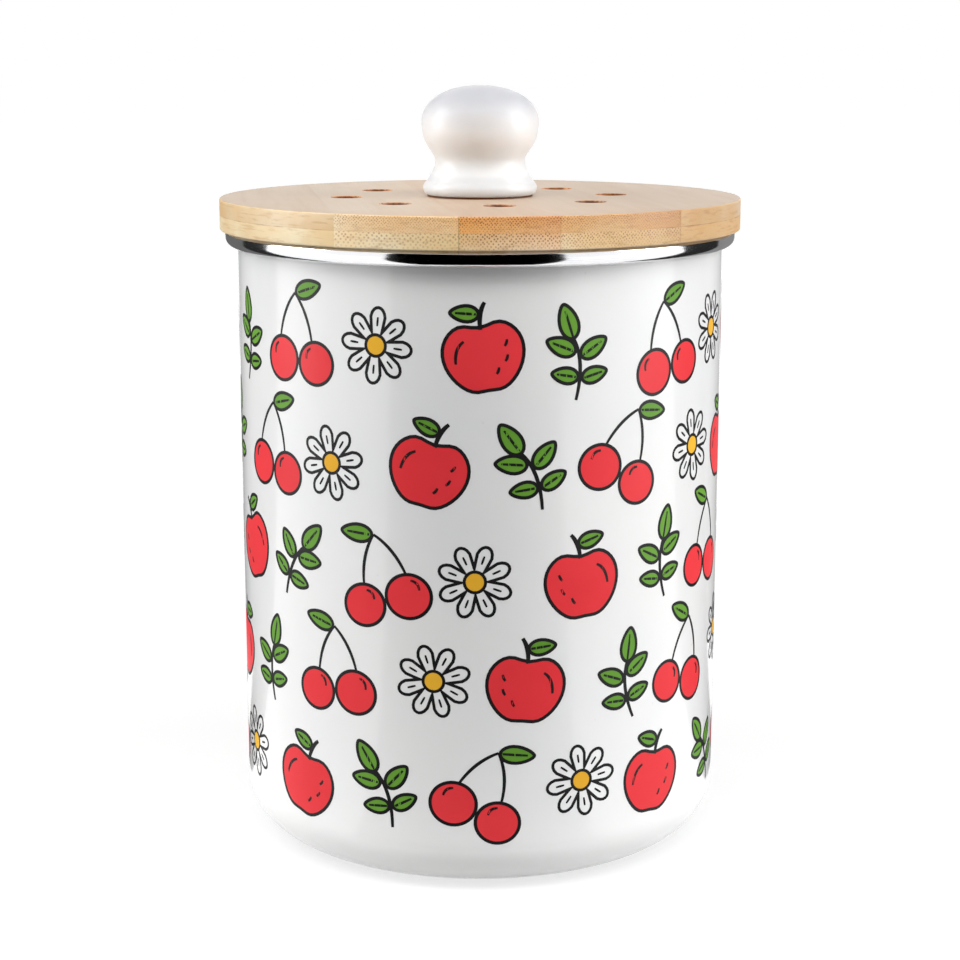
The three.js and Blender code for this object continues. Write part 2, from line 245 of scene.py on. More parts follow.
def merged(parts: Iterable[BMesh]) -> BMesh:
    """Puts several meshes into one, unjoined.

    Args:
        parts: The meshes, which are freed.

    Returns:
        One mesh that holds them all.
    """
    bm = bmesh.new()
    for part in parts:
        mesh = stored("part", part)
        bm.from_mesh(mesh)
        bpy.data.meshes.remove(mesh)
    return bm


def linked(name: str, data: object) -> Object:
    """Adds an object to the scene, at the origin.

    Args:
        name: The object's name.
        data: What it shows.

    Returns:
        The object.
    """
    obj = bpy.data.objects.new(name, data)
    bpy.context.scene.collection.objects.link(obj)
    return obj


def cut_away(blank: BMesh, cutter: BMesh) -> BMesh:
    """Cuts one solid out of another.

    Args:
        blank: The solid that is cut, which is freed.
        cutter: The solid that is taken away, which is freed.

    Returns:
        What is left, in millimetres.
    """
    pair = [linked(name, stored(name, bm)) for name, bm in (("blank", blank), ("cutter", cutter))]
    knife = pair[0].modifiers.new("cut", "BOOLEAN")
    knife.operation = "DIFFERENCE"
    knife.solver = "EXACT"
    knife.object = pair[1]
    left = bmesh.new()
    left.from_object(pair[0], bpy.context.evaluated_depsgraph_get())
    for obj in pair:
        mesh = obj.data
        bpy.data.objects.remove(obj)
        bpy.data.meshes.remove(mesh)
    return left


def face_up(faces: Iterable[BMFace]) -> None:
    """Turns flat faces so that they look up.

    Args:
        faces: The faces.
    """
    for face in faces:
        face.normal_update()
        if face.normal.z < 0:
            face.normal_flip()


def add_object(name: str, bm: BMesh, materials: Iterable[Material]) -> Object:
    """Adds a millimetre mesh to the scene, in metres and smooth where it bends gently.

    Args:
        name: The object's name.
        bm: The mesh, which is freed.
        materials: Its materials, in slot order.

    Returns:
        The new object, at the origin.
    """
    bmesh.ops.scale(bm, vec=(MM, MM, MM), verts=bm.verts)
    mesh = stored(name, bm)
    mesh.shade_smooth()
    mesh.set_sharp_from_angle(angle=SMOOTH_LIMIT)
    for material in materials:
        mesh.materials.append(material)
    return linked(name, mesh)


def tie(obj: Object, body: Body, slot: Slot, *nodes: str) -> Object:
    """Ties a piece to its body and hides the CAD nodes that it stands for.

    Args:
        obj: The piece.
        body: The body that it rides on.
        slot: Not used.
        *nodes: The CAD nodes that it stands for.

    Returns:
        The same piece.
    """
    if nodes:
        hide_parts(*nodes)
    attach(obj, body.value)
    log.info("%s: %d faces", obj.name, len(obj.data.polygons))
    return obj


# Material tools


def srgb(red: int, green: int, blue: int) -> Color:
    """A screen colour, from 0 to 255, as a linear colour."""
    shares = [value / 255 for value in (red, green, blue)]
    return (*(v / 12.92 if v <= 0.04045 else ((v + 0.055) / 1.055) ** 2.4 for v in shares), 1.0)


def gray(shade: float) -> Color:
    """A linear gray."""
    return (shade, shade, shade, 1.0)


class Tree:
    """Adds and links nodes in one shader tree."""

    def __init__(self, tree: NodeTree) -> None:
        """Starts on a tree that holds nothing."""
        self.tree = tree
        tree.nodes.clear()

    def add(self, kind: str, *values: object, **named: object) -> ShaderNode:
        """Adds a node.

        Args:
            kind: The node's type, without its ShaderNode prefix.
            *values: What its first sockets get, in order.
            **named: Properties of the node in lower case, and values of sockets named with a capital
                letter, underscores for spaces.

        Returns:
            The node.
        """
        node = self.tree.nodes.new("ShaderNode" + kind)
        for name in filter(str.islower, named):
            setattr(node, name, named[name])
        for socket, value in zip(node.inputs, values):
            self.feed(socket, value)
        for name in (name for name in named if name[0].isupper()):
            self.feed(node.inputs[name.replace("_", " ")], named[name])
        return node

    def feed(self, socket: NodeSocket, value: object) -> None:
        """Links a socket into another, or sets its value.

        Args:
            socket: The socket that is fed.
            value: Another socket, or the value.
        """
        if isinstance(value, NodeSocket):
            self.tree.links.new(value, socket)
        else:
            socket.default_value = value

    def math(self, operation: str, *values: object) -> NodeSocket:
        """One arithmetic step on up to three values."""
        return self.add("Math", *values, operation=operation).outputs[0]

    def product(self, *factors: object) -> NodeSocket:
        """Several values multiplied."""
        return reduce(lambda first, second: self.math("MULTIPLY", first, second), factors)

    def vector(self, operation: str, *values: object) -> ShaderNode:
        """One step of vector arithmetic."""
        return self.add("VectorMath", *values, operation=operation)

    def split(self, vector: object) -> Sequence[NodeSocket]:
        """A vector's three parts."""
        return self.add("SeparateXYZ", vector).outputs

    def fade(self, value: object, start: float, end: float, low: float = 0.0, high: float = 1.0) -> NodeSocket:
        """A smooth step of a value, from low before the start to high past the end."""
        return self.add("MapRange", value, start, end, low, high, interpolation_type="SMOOTHSTEP").outputs[0]

    def mix(self, share: object, first: object, second: object, blend: str = "MIX") -> NodeSocket:
        """Mixes two colours.

        Args:
            share: The share of the second.
            first: The first colour.
            second: The second colour.
            blend: The way that they mix.

        Returns:
            The mixed colour.
        """
        node = self.add("Mix", share, data_type="RGBA", blend_type=blend)
        for socket, value in zip((s for s in node.inputs if s.type == "RGBA"), (first, second)):
            self.feed(socket, value)
        return next(s for s in node.outputs if s.type == "RGBA")

    def noise(self, vector: object, scale: object, detail: float = 3.0, rough: float = 0.5) -> NodeSocket:
        """Cloudy noise from 0 to 1 about 0.5."""
        return self.add("TexNoise", Vector=vector, Scale=scale, Detail=detail, Roughness=rough).outputs["Fac"]

    def fibres(self, vector: object, scale: tuple[float, float, float], detail: float, rough: float) -> NodeSocket:
        """Noise whose scale differs along each axis."""
        return self.noise(self.vector("MULTIPLY", vector, scale).outputs[0], 1.0, detail, rough)

    def bump(self, strength: float, distance: float, height: object) -> NodeSocket:
        """A normal bent by a height."""
        return self.add("Bump", Strength=strength, Distance=distance, Height=height).outputs[0]


def new_material(name: str) -> tuple[Material, Tree]:
    """Starts a material.

    Args:
        name: The material's name.

    Returns:
        The material and its empty tree.
    """
    material = bpy.data.materials.new(name)
    material.use_nodes = True
    return material, Tree(material.node_tree)


def new_group(name: str, inputs: dict[str, str], outputs: dict[str, str]) -> tuple[Tree, Sequence, Sequence]:
    """Starts a shared node group.

    Args:
        name: The group's name.
        inputs: The kind of each input.
        outputs: The kind of each output.

    Returns:
        The tree, the sockets that bring its inputs, and the sockets that take its outputs.
    """
    group = bpy.data.node_groups.new(name, "ShaderNodeTree")
    tree = Tree(group)
    for way, sockets in (("INPUT", inputs), ("OUTPUT", outputs)):
        for label, kind in sockets.items():
            group.interface.new_socket(label, in_out=way, socket_type="NodeSocket" + kind)
    return tree, group.nodes.new("NodeGroupInput").outputs, group.nodes.new("NodeGroupOutput").inputs


class SharedEffects:
    """Node groups that more than one finish uses."""

    def __init__(self) -> None:
        """Builds every group once."""
        self.surface = self._surface()
        self.lathe = self._lathe()
        self.bamboo = self._bamboo()

    def _surface(self) -> NodeTree:
        """Uneven skin: a slow waviness, a fine grain and scattered specks.

        Returns:
            The group.
        """
        tree, source, sink = new_group(
            "uneven_skin",
            {"Vector": "Vector", "Wave Scale": "Float", "Grain Scale": "Float", "Grain Share": "Float"},
            {"Height": "Float", "Cloud": "Float", "Specks": "Float"})
        vector, share = source["Vector"], source["Grain Share"]
        wave, grain = (tree.noise(vector, source[scale], 2.0) for scale in ("Wave Scale", "Grain Scale"))
        rest = tree.math("SUBTRACT", 1.0, share)
        cells = tree.add("TexVoronoi", Vector=vector, Scale=90.0).outputs["Distance"]
        tree.feed(sink["Height"], tree.math("ADD", tree.product(wave, rest), tree.product(grain, share)))
        tree.feed(sink["Cloud"], tree.noise(vector, 14.0, 4.0, 0.6))
        tree.feed(sink["Specks"], tree.fade(cells, 0.02, 0.06, 1.0, 0.0))
        return tree.tree

    def _lathe(self) -> NodeTree:
        """Fine lines round an axis, as turning, rolling and polishing leave them.

        Returns:
            The group.
        """
        tree, source, sink = new_group("lathe_lines", {"Vector": "Vector", "Line Scale": "Float"},
                                       {"Height": "Float", "Tone": "Float"})
        x, y, z = tree.split(source["Vector"])
        radius = tree.vector("LENGTH", tree.add("CombineXYZ", x, y).outputs[0]).outputs["Value"]
        lines = tree.add("TexNoise", noise_dimensions="1D", W=tree.math("ADD", radius, z),
                         Scale=source["Line Scale"], Detail=3.0).outputs["Fac"]
        tree.feed(sink["Height"], lines)
        tree.feed(sink["Tone"], tree.product(lines, tree.noise(source["Vector"], 45.0, 5.0, 0.65)))
        return tree.tree

    def _bamboo(self) -> NodeTree:
        """Bamboo cut from one lump: fibre bundles run along the strips, so they show as dots on end
        grain and as streaks elsewhere. The vector is already turned so that the fibres lie along Y.
        Grain holds the lump's shift, the spacing of its bundles and how dark they are. Rise goes from
        0 to 1 through a board, towards the cane's outer skin, where the bundles are darker.

        Returns:
            The group.
        """
        tree, source, sink = new_group(
            "bamboo_fibres",
            {"Vector": "Vector", "Tint": "Color", "Grain": "Vector", "Rise": "Float", "Dots": "Float"},
            {"Color": "Color", "Roughness": "Float", "Height": "Float"})

        def dyed(red: int, green: int, blue: int) -> NodeSocket:
            """The lump's tint under a dye."""
            return tree.mix(1.0, source["Tint"], srgb(red, green, blue), "MULTIPLY")

        rise = source["Rise"]
        seed, spacing, depth = tree.split(source["Grain"])
        spot = tree.vector("ADD", source["Vector"], tree.add("CombineXYZ", seed, seed).outputs[0]).outputs[0]
        x, _, z = tree.split(spot)
        sway = tree.product(tree.math("SUBTRACT", tree.fibres(spot, (60, 9, 60), 1.0, 0.5), 0.5), 0.0012)
        column = tree.math("DIVIDE", tree.math("ADD", x, sway), spacing)
        row = tree.math("DIVIDE", z, tree.product(spacing, 1.15))
        lattice = tree.add("CombineXYZ", tree.math("ADD", column, row), tree.math("SUBTRACT", column, row))
        cells = tree.add("TexVoronoi", voronoi_dimensions="2D", Scale=1.0, Randomness=0.4, Vector=lattice.outputs[0])
        faded = tree.product(tree.fade(tree.noise(spot, 300.0, 2.0), 0.35, 0.62, 0.6, 1.0),
                             tree.fade(rise, 0.0, 0.85, 0.42, 1.0))
        dot = tree.product(tree.fade(cells.outputs["Distance"], 0.17, 0.37, 1.0, 0.0), faded,
                           tree.product(depth, source["Dots"]))
        fine = tree.fibres(spot, (220, 12, 1000), 4.0, 0.6)
        broad = tree.fibres(spot, (170, 5, 170), 3.0, 0.5)
        color = tree.mix(tree.fade(tree.noise(spot, 38.0), 0.35, 0.65), source["Tint"], dyed(250, 230, 204))
        for share, dye in ((tree.product(rise, depth), dyed(236, 212, 184)),
                           (tree.fade(fine, 0.5, 0.68, 0.0, 0.5), dyed(214, 184, 150)),
                           (tree.fade(broad, 0.5, 0.75, 0.0, 0.5), dyed(240, 220, 196)),
                           (dot, dyed(146, 80, 42))):
            color = tree.mix(share, color, dye)
        tree.feed(sink["Color"], color)
        tree.feed(sink["Roughness"], tree.math("MULTIPLY_ADD", fine, 0.16, 0.36))
        tree.feed(sink["Height"], tree.math("SUBTRACT", fine, tree.product(dot, 0.6)))
        return tree.tree


@dataclass(frozen=True)
class Finish:
    """A named surface."""

    name: str

    def shade(self, tree: Tree, spot: NodeSocket, effects: SharedEffects) -> dict[str, object]:
        """Builds the nodes of a kind of finish.

        Args:
            tree: The material's tree.
            spot: The place on the piece, in metres.
            effects: The shared node groups.

        Returns:
            What each socket of the surface gets.
        """
        raise NotImplementedError

    def build(self, effects: SharedEffects) -> Material:
        """Makes the material.

        Args:
            effects: The shared node groups.

        Returns:
            The material.
        """
        material, tree = new_material(self.name)
        shader = tree.add("BsdfPrincipled")
        tree.add("OutputMaterial", shader.outputs[0])
        look = self.shade(tree, tree.add("TexCoord").outputs["Object"], effects)
        for socket, value in look.items():
            tree.feed(shader.inputs[socket], value)
        return material


@dataclass(frozen=True)
class SkinFinish(Finish):
    """A coated, moulded or glazed surface with an uneven skin. A glaze can take a greyer colour over the crown
    and at the foot's upper edge, between the levels given: painted shade where the overhead light falls strongest.
    """

    color: Screen
    tint: Screen
    roughness: float
    roughness_spread: float = 0.08
    coat: float = 0.0
    coat_roughness: float = 0.05
    wave_scale: float = 60.0
    grain_scale: float = 1200.0
    grain_share: float = 0.2
    relief: float = 0.00002
    relief_strength: float = 0.3
    specks: float = 0.0
    speck_color: Screen = (120, 110, 96)
    subsurface: float = 0.0
    subsurface_scale: float = 0.004
    specular: float = 0.5
    painted_shade: Screen | None = None
    painted_shade_rim: float = 0.25
    painted_shade_levels: tuple[float, ...] = ()

    def shade(self, tree: Tree, spot: NodeSocket, effects: SharedEffects) -> dict[str, object]:
        """Builds the skin's nodes.

        Args:
            tree: The material's tree.
            spot: The place on the piece, in metres.
            effects: The shared node groups.

        Returns:
            What each socket of the surface gets.
        """
        skin = tree.add("Group", node_tree=effects.surface, Vector=spot, Wave_Scale=self.wave_scale,
                        Grain_Scale=self.grain_scale, Grain_Share=self.grain_share).outputs
        color = tree.mix(tree.fade(skin["Cloud"], 0.3, 0.75), srgb(*self.color), srgb(*self.tint))
        # Painted shade: a greyer glaze colour over the crown and at the foot's upper edge, where the overhead light
        # falls strongest.
        if self.painted_shade:
            up = tree.split(spot)[2]
            foot, edge, neck, waist, crown = self.painted_shade_levels
            rim = tree.product(tree.fade(up, foot, edge), tree.fade(up, edge, neck, self.painted_shade_rim, 0.0))
            color = tree.mix(tree.math("MAXIMUM", tree.fade(up, waist, crown), rim), color, srgb(*self.painted_shade))
        if self.specks:
            color = tree.mix(tree.product(skin["Specks"], self.specks), color, srgb(*self.speck_color))
        look = {
            "Base Color": color,
            "Roughness": tree.math("MULTIPLY_ADD", skin["Cloud"], self.roughness_spread,
                                   self.roughness - self.roughness_spread / 2),
            "Normal": tree.bump(self.relief_strength, self.relief, skin["Height"]),
            "Coat Weight": self.coat,
            "Coat Roughness": self.coat_roughness,
            "Specular IOR Level": self.specular,
        }
        if self.subsurface:
            look |= {"Subsurface Weight": self.subsurface, "Subsurface Radius": (1.0, 0.9, 0.85),
                     "Subsurface Scale": self.subsurface_scale}
        return look


@dataclass(frozen=True)
class MetalFinish(Finish):
    """A bare metal with fine lines from turning or polishing."""

    color: Screen
    dull: Screen
    roughness: float
    roughness_spread: float = 0.1
    line_scale: float = 3000.0
    relief: float = 0.000004
    relief_strength: float = 0.15

    def shade(self, tree: Tree, spot: NodeSocket, effects: SharedEffects) -> dict[str, object]:
        """Builds the metal's nodes.

        Args:
            tree: The material's tree.
            spot: The place on the piece, in metres.
            effects: The shared node groups.

        Returns:
            What each socket of the surface gets.
        """
        lines = tree.add("Group", node_tree=effects.lathe, Vector=spot, Line_Scale=self.line_scale).outputs
        return {
            "Base Color": tree.mix(tree.fade(lines["Tone"], 0.2, 0.4), srgb(*self.color), srgb(*self.dull)),
            "Roughness": tree.math("MULTIPLY_ADD", lines["Tone"], self.roughness_spread, self.roughness),
            "Normal": tree.bump(self.relief_strength, self.relief, lines["Height"]),
            "Metallic": 1.0,
        }


@dataclass(frozen=True)
class FoamFinish(Finish):
    """Open carbon foam: a web of dark cells with pits."""

    color: Screen
    web: Screen
    cell_scale: float = 900.0

    def shade(self, tree: Tree, spot: NodeSocket, effects: SharedEffects) -> dict[str, object]:
        """Builds the foam's nodes.

        Args:
            tree: The material's tree.
            spot: The place on the piece, in metres.
            effects: The shared node groups.

        Returns:
            What each socket of the surface gets.
        """
        skin = tree.add("Group", node_tree=effects.surface, Vector=spot, Wave_Scale=220.0, Grain_Scale=2600.0,
                        Grain_Share=0.6).outputs
        cells = tree.add("TexVoronoi", feature="DISTANCE_TO_EDGE", Vector=spot, Scale=self.cell_scale)
        web = tree.fade(cells.outputs["Distance"], 0.03, 0.16, 1.0, 0.0)
        return {
            "Base Color": tree.mix(web, srgb(*self.color), srgb(*self.web)),
            "Roughness": tree.fade(skin["Cloud"], 0.2, 0.8, 0.8, 0.97),
            "Normal": tree.bump(0.8, 0.0003, tree.math("ADD", web, tree.product(skin["Height"], 0.4))),
            "Sheen Weight": 0.2,
        }


@dataclass(frozen=True)
class BambooFinish(Finish):
    """Oiled bamboo strips whose fibres lie along the board's own Y. The joints are glue lines across
    the board, each with how dark it is.
    """

    low: float
    seam: float
    joints: tuple[Point, ...] = ()

    def shade(self, tree: Tree, spot: NodeSocket, effects: SharedEffects) -> dict[str, object]:
        """Builds the bamboo's nodes.

        Args:
            tree: The material's tree.
            spot: The place on the piece, in metres.
            effects: The shared node groups.

        Returns:
            What each socket of the surface gets.
        """
        board = tree.add("Mapping", Vector=spot, Rotation=(0.0, 0.0, -LID_TURN)).outputs[0]
        up = tree.split(board)[2]
        normal = tree.add("NewGeometry").outputs["Normal"]
        upward = tree.split(normal)[2]
        along_fibres = tree.vector("DOT_PRODUCT", normal, (-math.sin(LID_TURN), math.cos(LID_TURN), 0.0))
        facing = tree.math("ABSOLUTE", along_fibres.outputs["Value"])
        thickness = self.seam - self.low
        rise = tree.math("FRACT", tree.math("MULTIPLY_ADD", up, 1 / (thickness * MM), -self.low / thickness))
        tint, grain, bored = (tree.add("Attribute", attribute_name=name).outputs[kind]
                              for name, kind in (("tint", "Color"), ("grain", "Vector"), ("bored", "Fac")))
        fibres = tree.add("Group", node_tree=effects.bamboo, Vector=board, Tint=tint, Grain=grain, Rise=rise,
                          Dots=tree.fade(facing, 0.5, 0.75)).outputs
        flat_top = tree.fade(upward, 0.8, 0.98)
        # Painted shade: the board's up-facing top takes a darker, greyer colour, against the strong overhead light.
        color = tree.mix(tree.product(flat_top, 0.88), fibres["Color"], srgb(158, 140, 123))
        if self.joints:
            color = self._glued(tree, color, board, flat_top)
            # Painted highlight: a pale line along the lower edge of the lid's upright faces, where the rounded edge
            # would catch light.
            painted_low_edge_highlight = tree.fade(up, (self.low + 0.15) * MM, (self.low + 0.5) * MM, 0.5, 0.0)
            upright = tree.fade(tree.math("ABSOLUTE", upward), 0.5, 0.9, 1.0, 0.0)
            color = tree.mix(tree.product(painted_low_edge_highlight, upright), color, srgb(240, 226, 206))
        # Vent walls: darker where they show end grain, and darkened further, with dark mottling, as painted shade
        # inside the holes.
        end_grain_and_hole_shade = tree.mix(tree.fade(facing, 0.35, 0.95), srgb(210, 144, 82), srgb(138, 76, 32))
        mottled = tree.mix(tree.fade(tree.noise(board, 900.0, 2.0), 0.4, 0.6, 0.0, 0.7), end_grain_and_hole_shade, srgb(76, 36, 12))
        return {
            "Base Color": tree.mix(bored, color, mottled),
            "Roughness": fibres["Roughness"],
            "Normal": tree.bump(0.25, 0.00006, fibres["Height"]),
            "Coat Weight": 0.15,
            "Coat Roughness": 0.32,
            "Specular IOR Level": 0.4,
        }

    def _glued(self, tree: Tree, color: NodeSocket, board: NodeSocket, flat_top: NodeSocket) -> NodeSocket:
        """Draws the seam between the boards, broken here and there, and the joints between strips.

        Args:
            tree: The material's tree.
            color: The timber's colour.
            board: The place on the board, in metres.
            flat_top: How much a face is the board's top, where the lines are faint.

        Returns:
            The colour with the lines on it.
        """
        across, _, up = tree.split(board)

        def line(value: NodeSocket, place: float, strength: float) -> NodeSocket:
            """A hairline at one place."""
            gap = tree.math("ABSOLUTE", tree.math("SUBTRACT", value, place * MM))
            return tree.fade(gap, 0.00004, 0.0002, strength, 0.0)

        sides = tree.math("MAXIMUM", tree.fade(across, -0.056, -0.05, 0.5, 0.1),
                          tree.fade(across, 0.045, 0.049, 0.1, 0.8))
        broken = tree.fade(tree.noise(board, 140.0), 0.4, 0.6, 0.2, 1.0)
        lines = tree.product(line(up, self.seam, 1.0), broken, sides)
        for place, strength in self.joints:
            lines = tree.math("MAXIMUM", lines, line(across, place, strength))
        return tree.mix(tree.product(lines, tree.fade(flat_top, 0.0, 1.0, 1.0, 0.15)), color, srgb(126, 82, 44))


class Finishes:
    """Every finish on the caddy, built once."""

    def __init__(self, effects: SharedEffects, board: "LidBoards") -> None:
        """Builds the materials.

        Args:
            effects: The shared node groups.
            board: The lid's boards, whose levels the bamboo reads.
        """
        foot = bottom_of("knob") * MM
        skins = {
            Slot.ENAMEL: SkinFinish("white_enamel", (243, 243, 242), (239, 240, 240), 0.16, coat=0.4,
                                    coat_roughness=0.04, wave_scale=140.0, grain_share=0.12, relief=0.00003,
                                    relief_strength=0.25, specks=0.08),
            Slot.GLAZE: SkinFinish("white_glaze", (227, 227, 227), (223, 223, 223), 0.3, coat=0.1,
                                   # The greyer glaze on the crown and the foot's upper edge is painted shade.
                                   painted_shade=(168, 169, 174),
                                   painted_shade_levels=(foot, foot + 0.0055, foot + 0.0073, foot + 0.018, foot + 0.034),
                                   coat_roughness=0.08, wave_scale=90.0, grain_share=0.1, relief=0.00004,
                                   relief_strength=0.2, specks=0.1, subsurface=1.0, subsurface_scale=0.02,
                                   specular=0.3),
            Slot.SILICONE: SkinFinish("silicone", (224, 221, 212), (214, 210, 200), 0.55, subsurface=0.3,
                                      wave_scale=200.0, relief=0.00003, specks=0.15),
            Slot.RUBBER: SkinFinish("brown_rubber", (112, 70, 44), (84, 54, 36), 0.75, wave_scale=300.0,
                                    relief=0.00005),
            Slot.PLASTIC: SkinFinish("white_plastic", (236, 236, 232), (228, 228, 223), 0.42, wave_scale=500.0,
                                     grain_scale=4200.0, grain_share=0.7, relief_strength=0.5, specks=0.1),
            Slot.STEEL: MetalFinish("polished_steel", (248, 248, 250), (236, 236, 239), 0.07,
                                    roughness_spread=0.12, relief_strength=0.08),
            Slot.ZINC: MetalFinish("zinc_steel", (196, 199, 204), (160, 162, 166), 0.26, line_scale=5200.0),
            Slot.BRASS: MetalFinish("brass", (220, 184, 110), (176, 138, 74), 0.24, line_scale=4200.0),
            Slot.BAMBOO: BambooFinish("bamboo", board.low, board.seam, tuple(zip(board.joints, board.joint_shades))),
            Slot.CARBON: FoamFinish("carbon_foam", (18, 18, 20), (52, 52, 56)),
        }
        inks = {"black_ink": ((26, 25, 26), (32, 31, 32)), "red_ink": ((232, 62, 68), (222, 54, 60)),
                "green_ink": ((104, 156, 56), (94, 146, 50)), "yellow_ink": ((236, 182, 56), (228, 170, 48))}
        self.by_slot = {slot: finish.build(effects) for slot, finish in skins.items()}
        self.inks = [SkinFinish(name, color, tint, 0.38, specular=0.15, wave_scale=160.0, relief=0.00001).build(effects)
                     for name, (color, tint) in inks.items()]
        self.ring = BambooFinish("bamboo_ring", board.low - board.ring_height, board.low).build(effects)

    def add(self, name: str, bm: BMesh, body: Body, slot: Slot, *nodes: str) -> Object:
        """Adds a piece in the finish of its slot."""
        return tie(add_object(name, bm, [self.by_slot[slot]]), body, slot, *nodes)


# Canister


@dataclass
class Canister:
    """The coated pot and the bright band rolled over its lip."""

    wall: float = 1.2
    corner: float = 17.3
    stand_width: float = 8.0
    base_step: float = 6.0
    base_rise: float = 1.6
    base_round: float = 6.0
    flare: float = 3.0
    band_leg: float = 1.9
    band_sheet: float = 0.5
    band_top_round: float = 1.6
    band_low_round: float = 3.0
    band_gap: float = 0.3
    sheet_edge: float = 0.15
    segments: int = 288

    @property
    def inner(self) -> float:
        """The radius of the inside of the wall."""
        return BODY_RADIUS - self.wall

    def build(self, finishes: Finishes) -> None:
        """Builds and dresses both pieces."""
        finishes.add("pot", self._pot(), Body.CANISTER, Slot.ENAMEL, "canister_shell")
        finishes.add("lip_band", self._band(), Body.CANISTER, Slot.STEEL, "rim_band")

    def _pot(self) -> BMesh:
        """The drawn pot, its base pressed in so that it stands on a ring.

        Returns:
            Its mesh.
        """
        top, lip, wall = top_of("canister_shell"), reach_of("canister_shell"), self.wall
        stand = BODY_RADIUS - self.corner - self.stand_width
        panel = stand - self.base_step
        return turned([
            (0.0, self.base_rise),
            (panel, self.base_rise, self.base_round),
            (stand, 0.0, self.base_round),
            (BODY_RADIUS, 0.0, self.corner, 14),
            (BODY_RADIUS, top - wall, self.flare - wall, 5),
            (lip, top - wall, 0.3, 2),
            (lip, top, 0.6, 3),
            (self.inner, top, self.flare, 8),
            (self.inner, wall, self.corner - wall, 14),
            (stand, wall, self.base_round),
            (panel, self.base_rise + wall, self.base_round),
            (0.0, self.base_rise + wall),
        ], self.segments, closed=False)

    def _band(self) -> BMesh:
        """The band: a thin sheet that hooks into the mouth and rolls down outside the lip.

        Returns:
            Its mesh.
        """
        low, top, outer = bottom_of("rim_band"), top_of("rim_band"), reach_of("rim_band")
        edge = BODY_RADIUS + self.band_gap
        sheet, top_round, low_round = self.band_sheet, self.band_top_round, self.band_low_round
        return turned([
            (self.inner, top - self.band_leg, self.sheet_edge, 2),
            (self.inner, top, top_round, 8),
            (outer, top, top_round, 8),
            (outer, low, low_round, 12),
            (edge, low, self.sheet_edge, 2),
            (edge, low + sheet, self.sheet_edge, 2),
            (outer - sheet, low + sheet, low_round - sheet, 8),
            (outer - sheet, top - sheet, top_round - sheet, 6),
            (self.inner + sheet, top - sheet, top_round - sheet, 6),
            (self.inner + sheet, top - self.band_leg, self.sheet_edge, 2),
        ], self.segments)


# Print


class Ink(Enum):
    """The printed colours, by their place among the print's materials."""

    LINE = 0
    RED = 1
    GREEN = 2
    YELLOW = 3


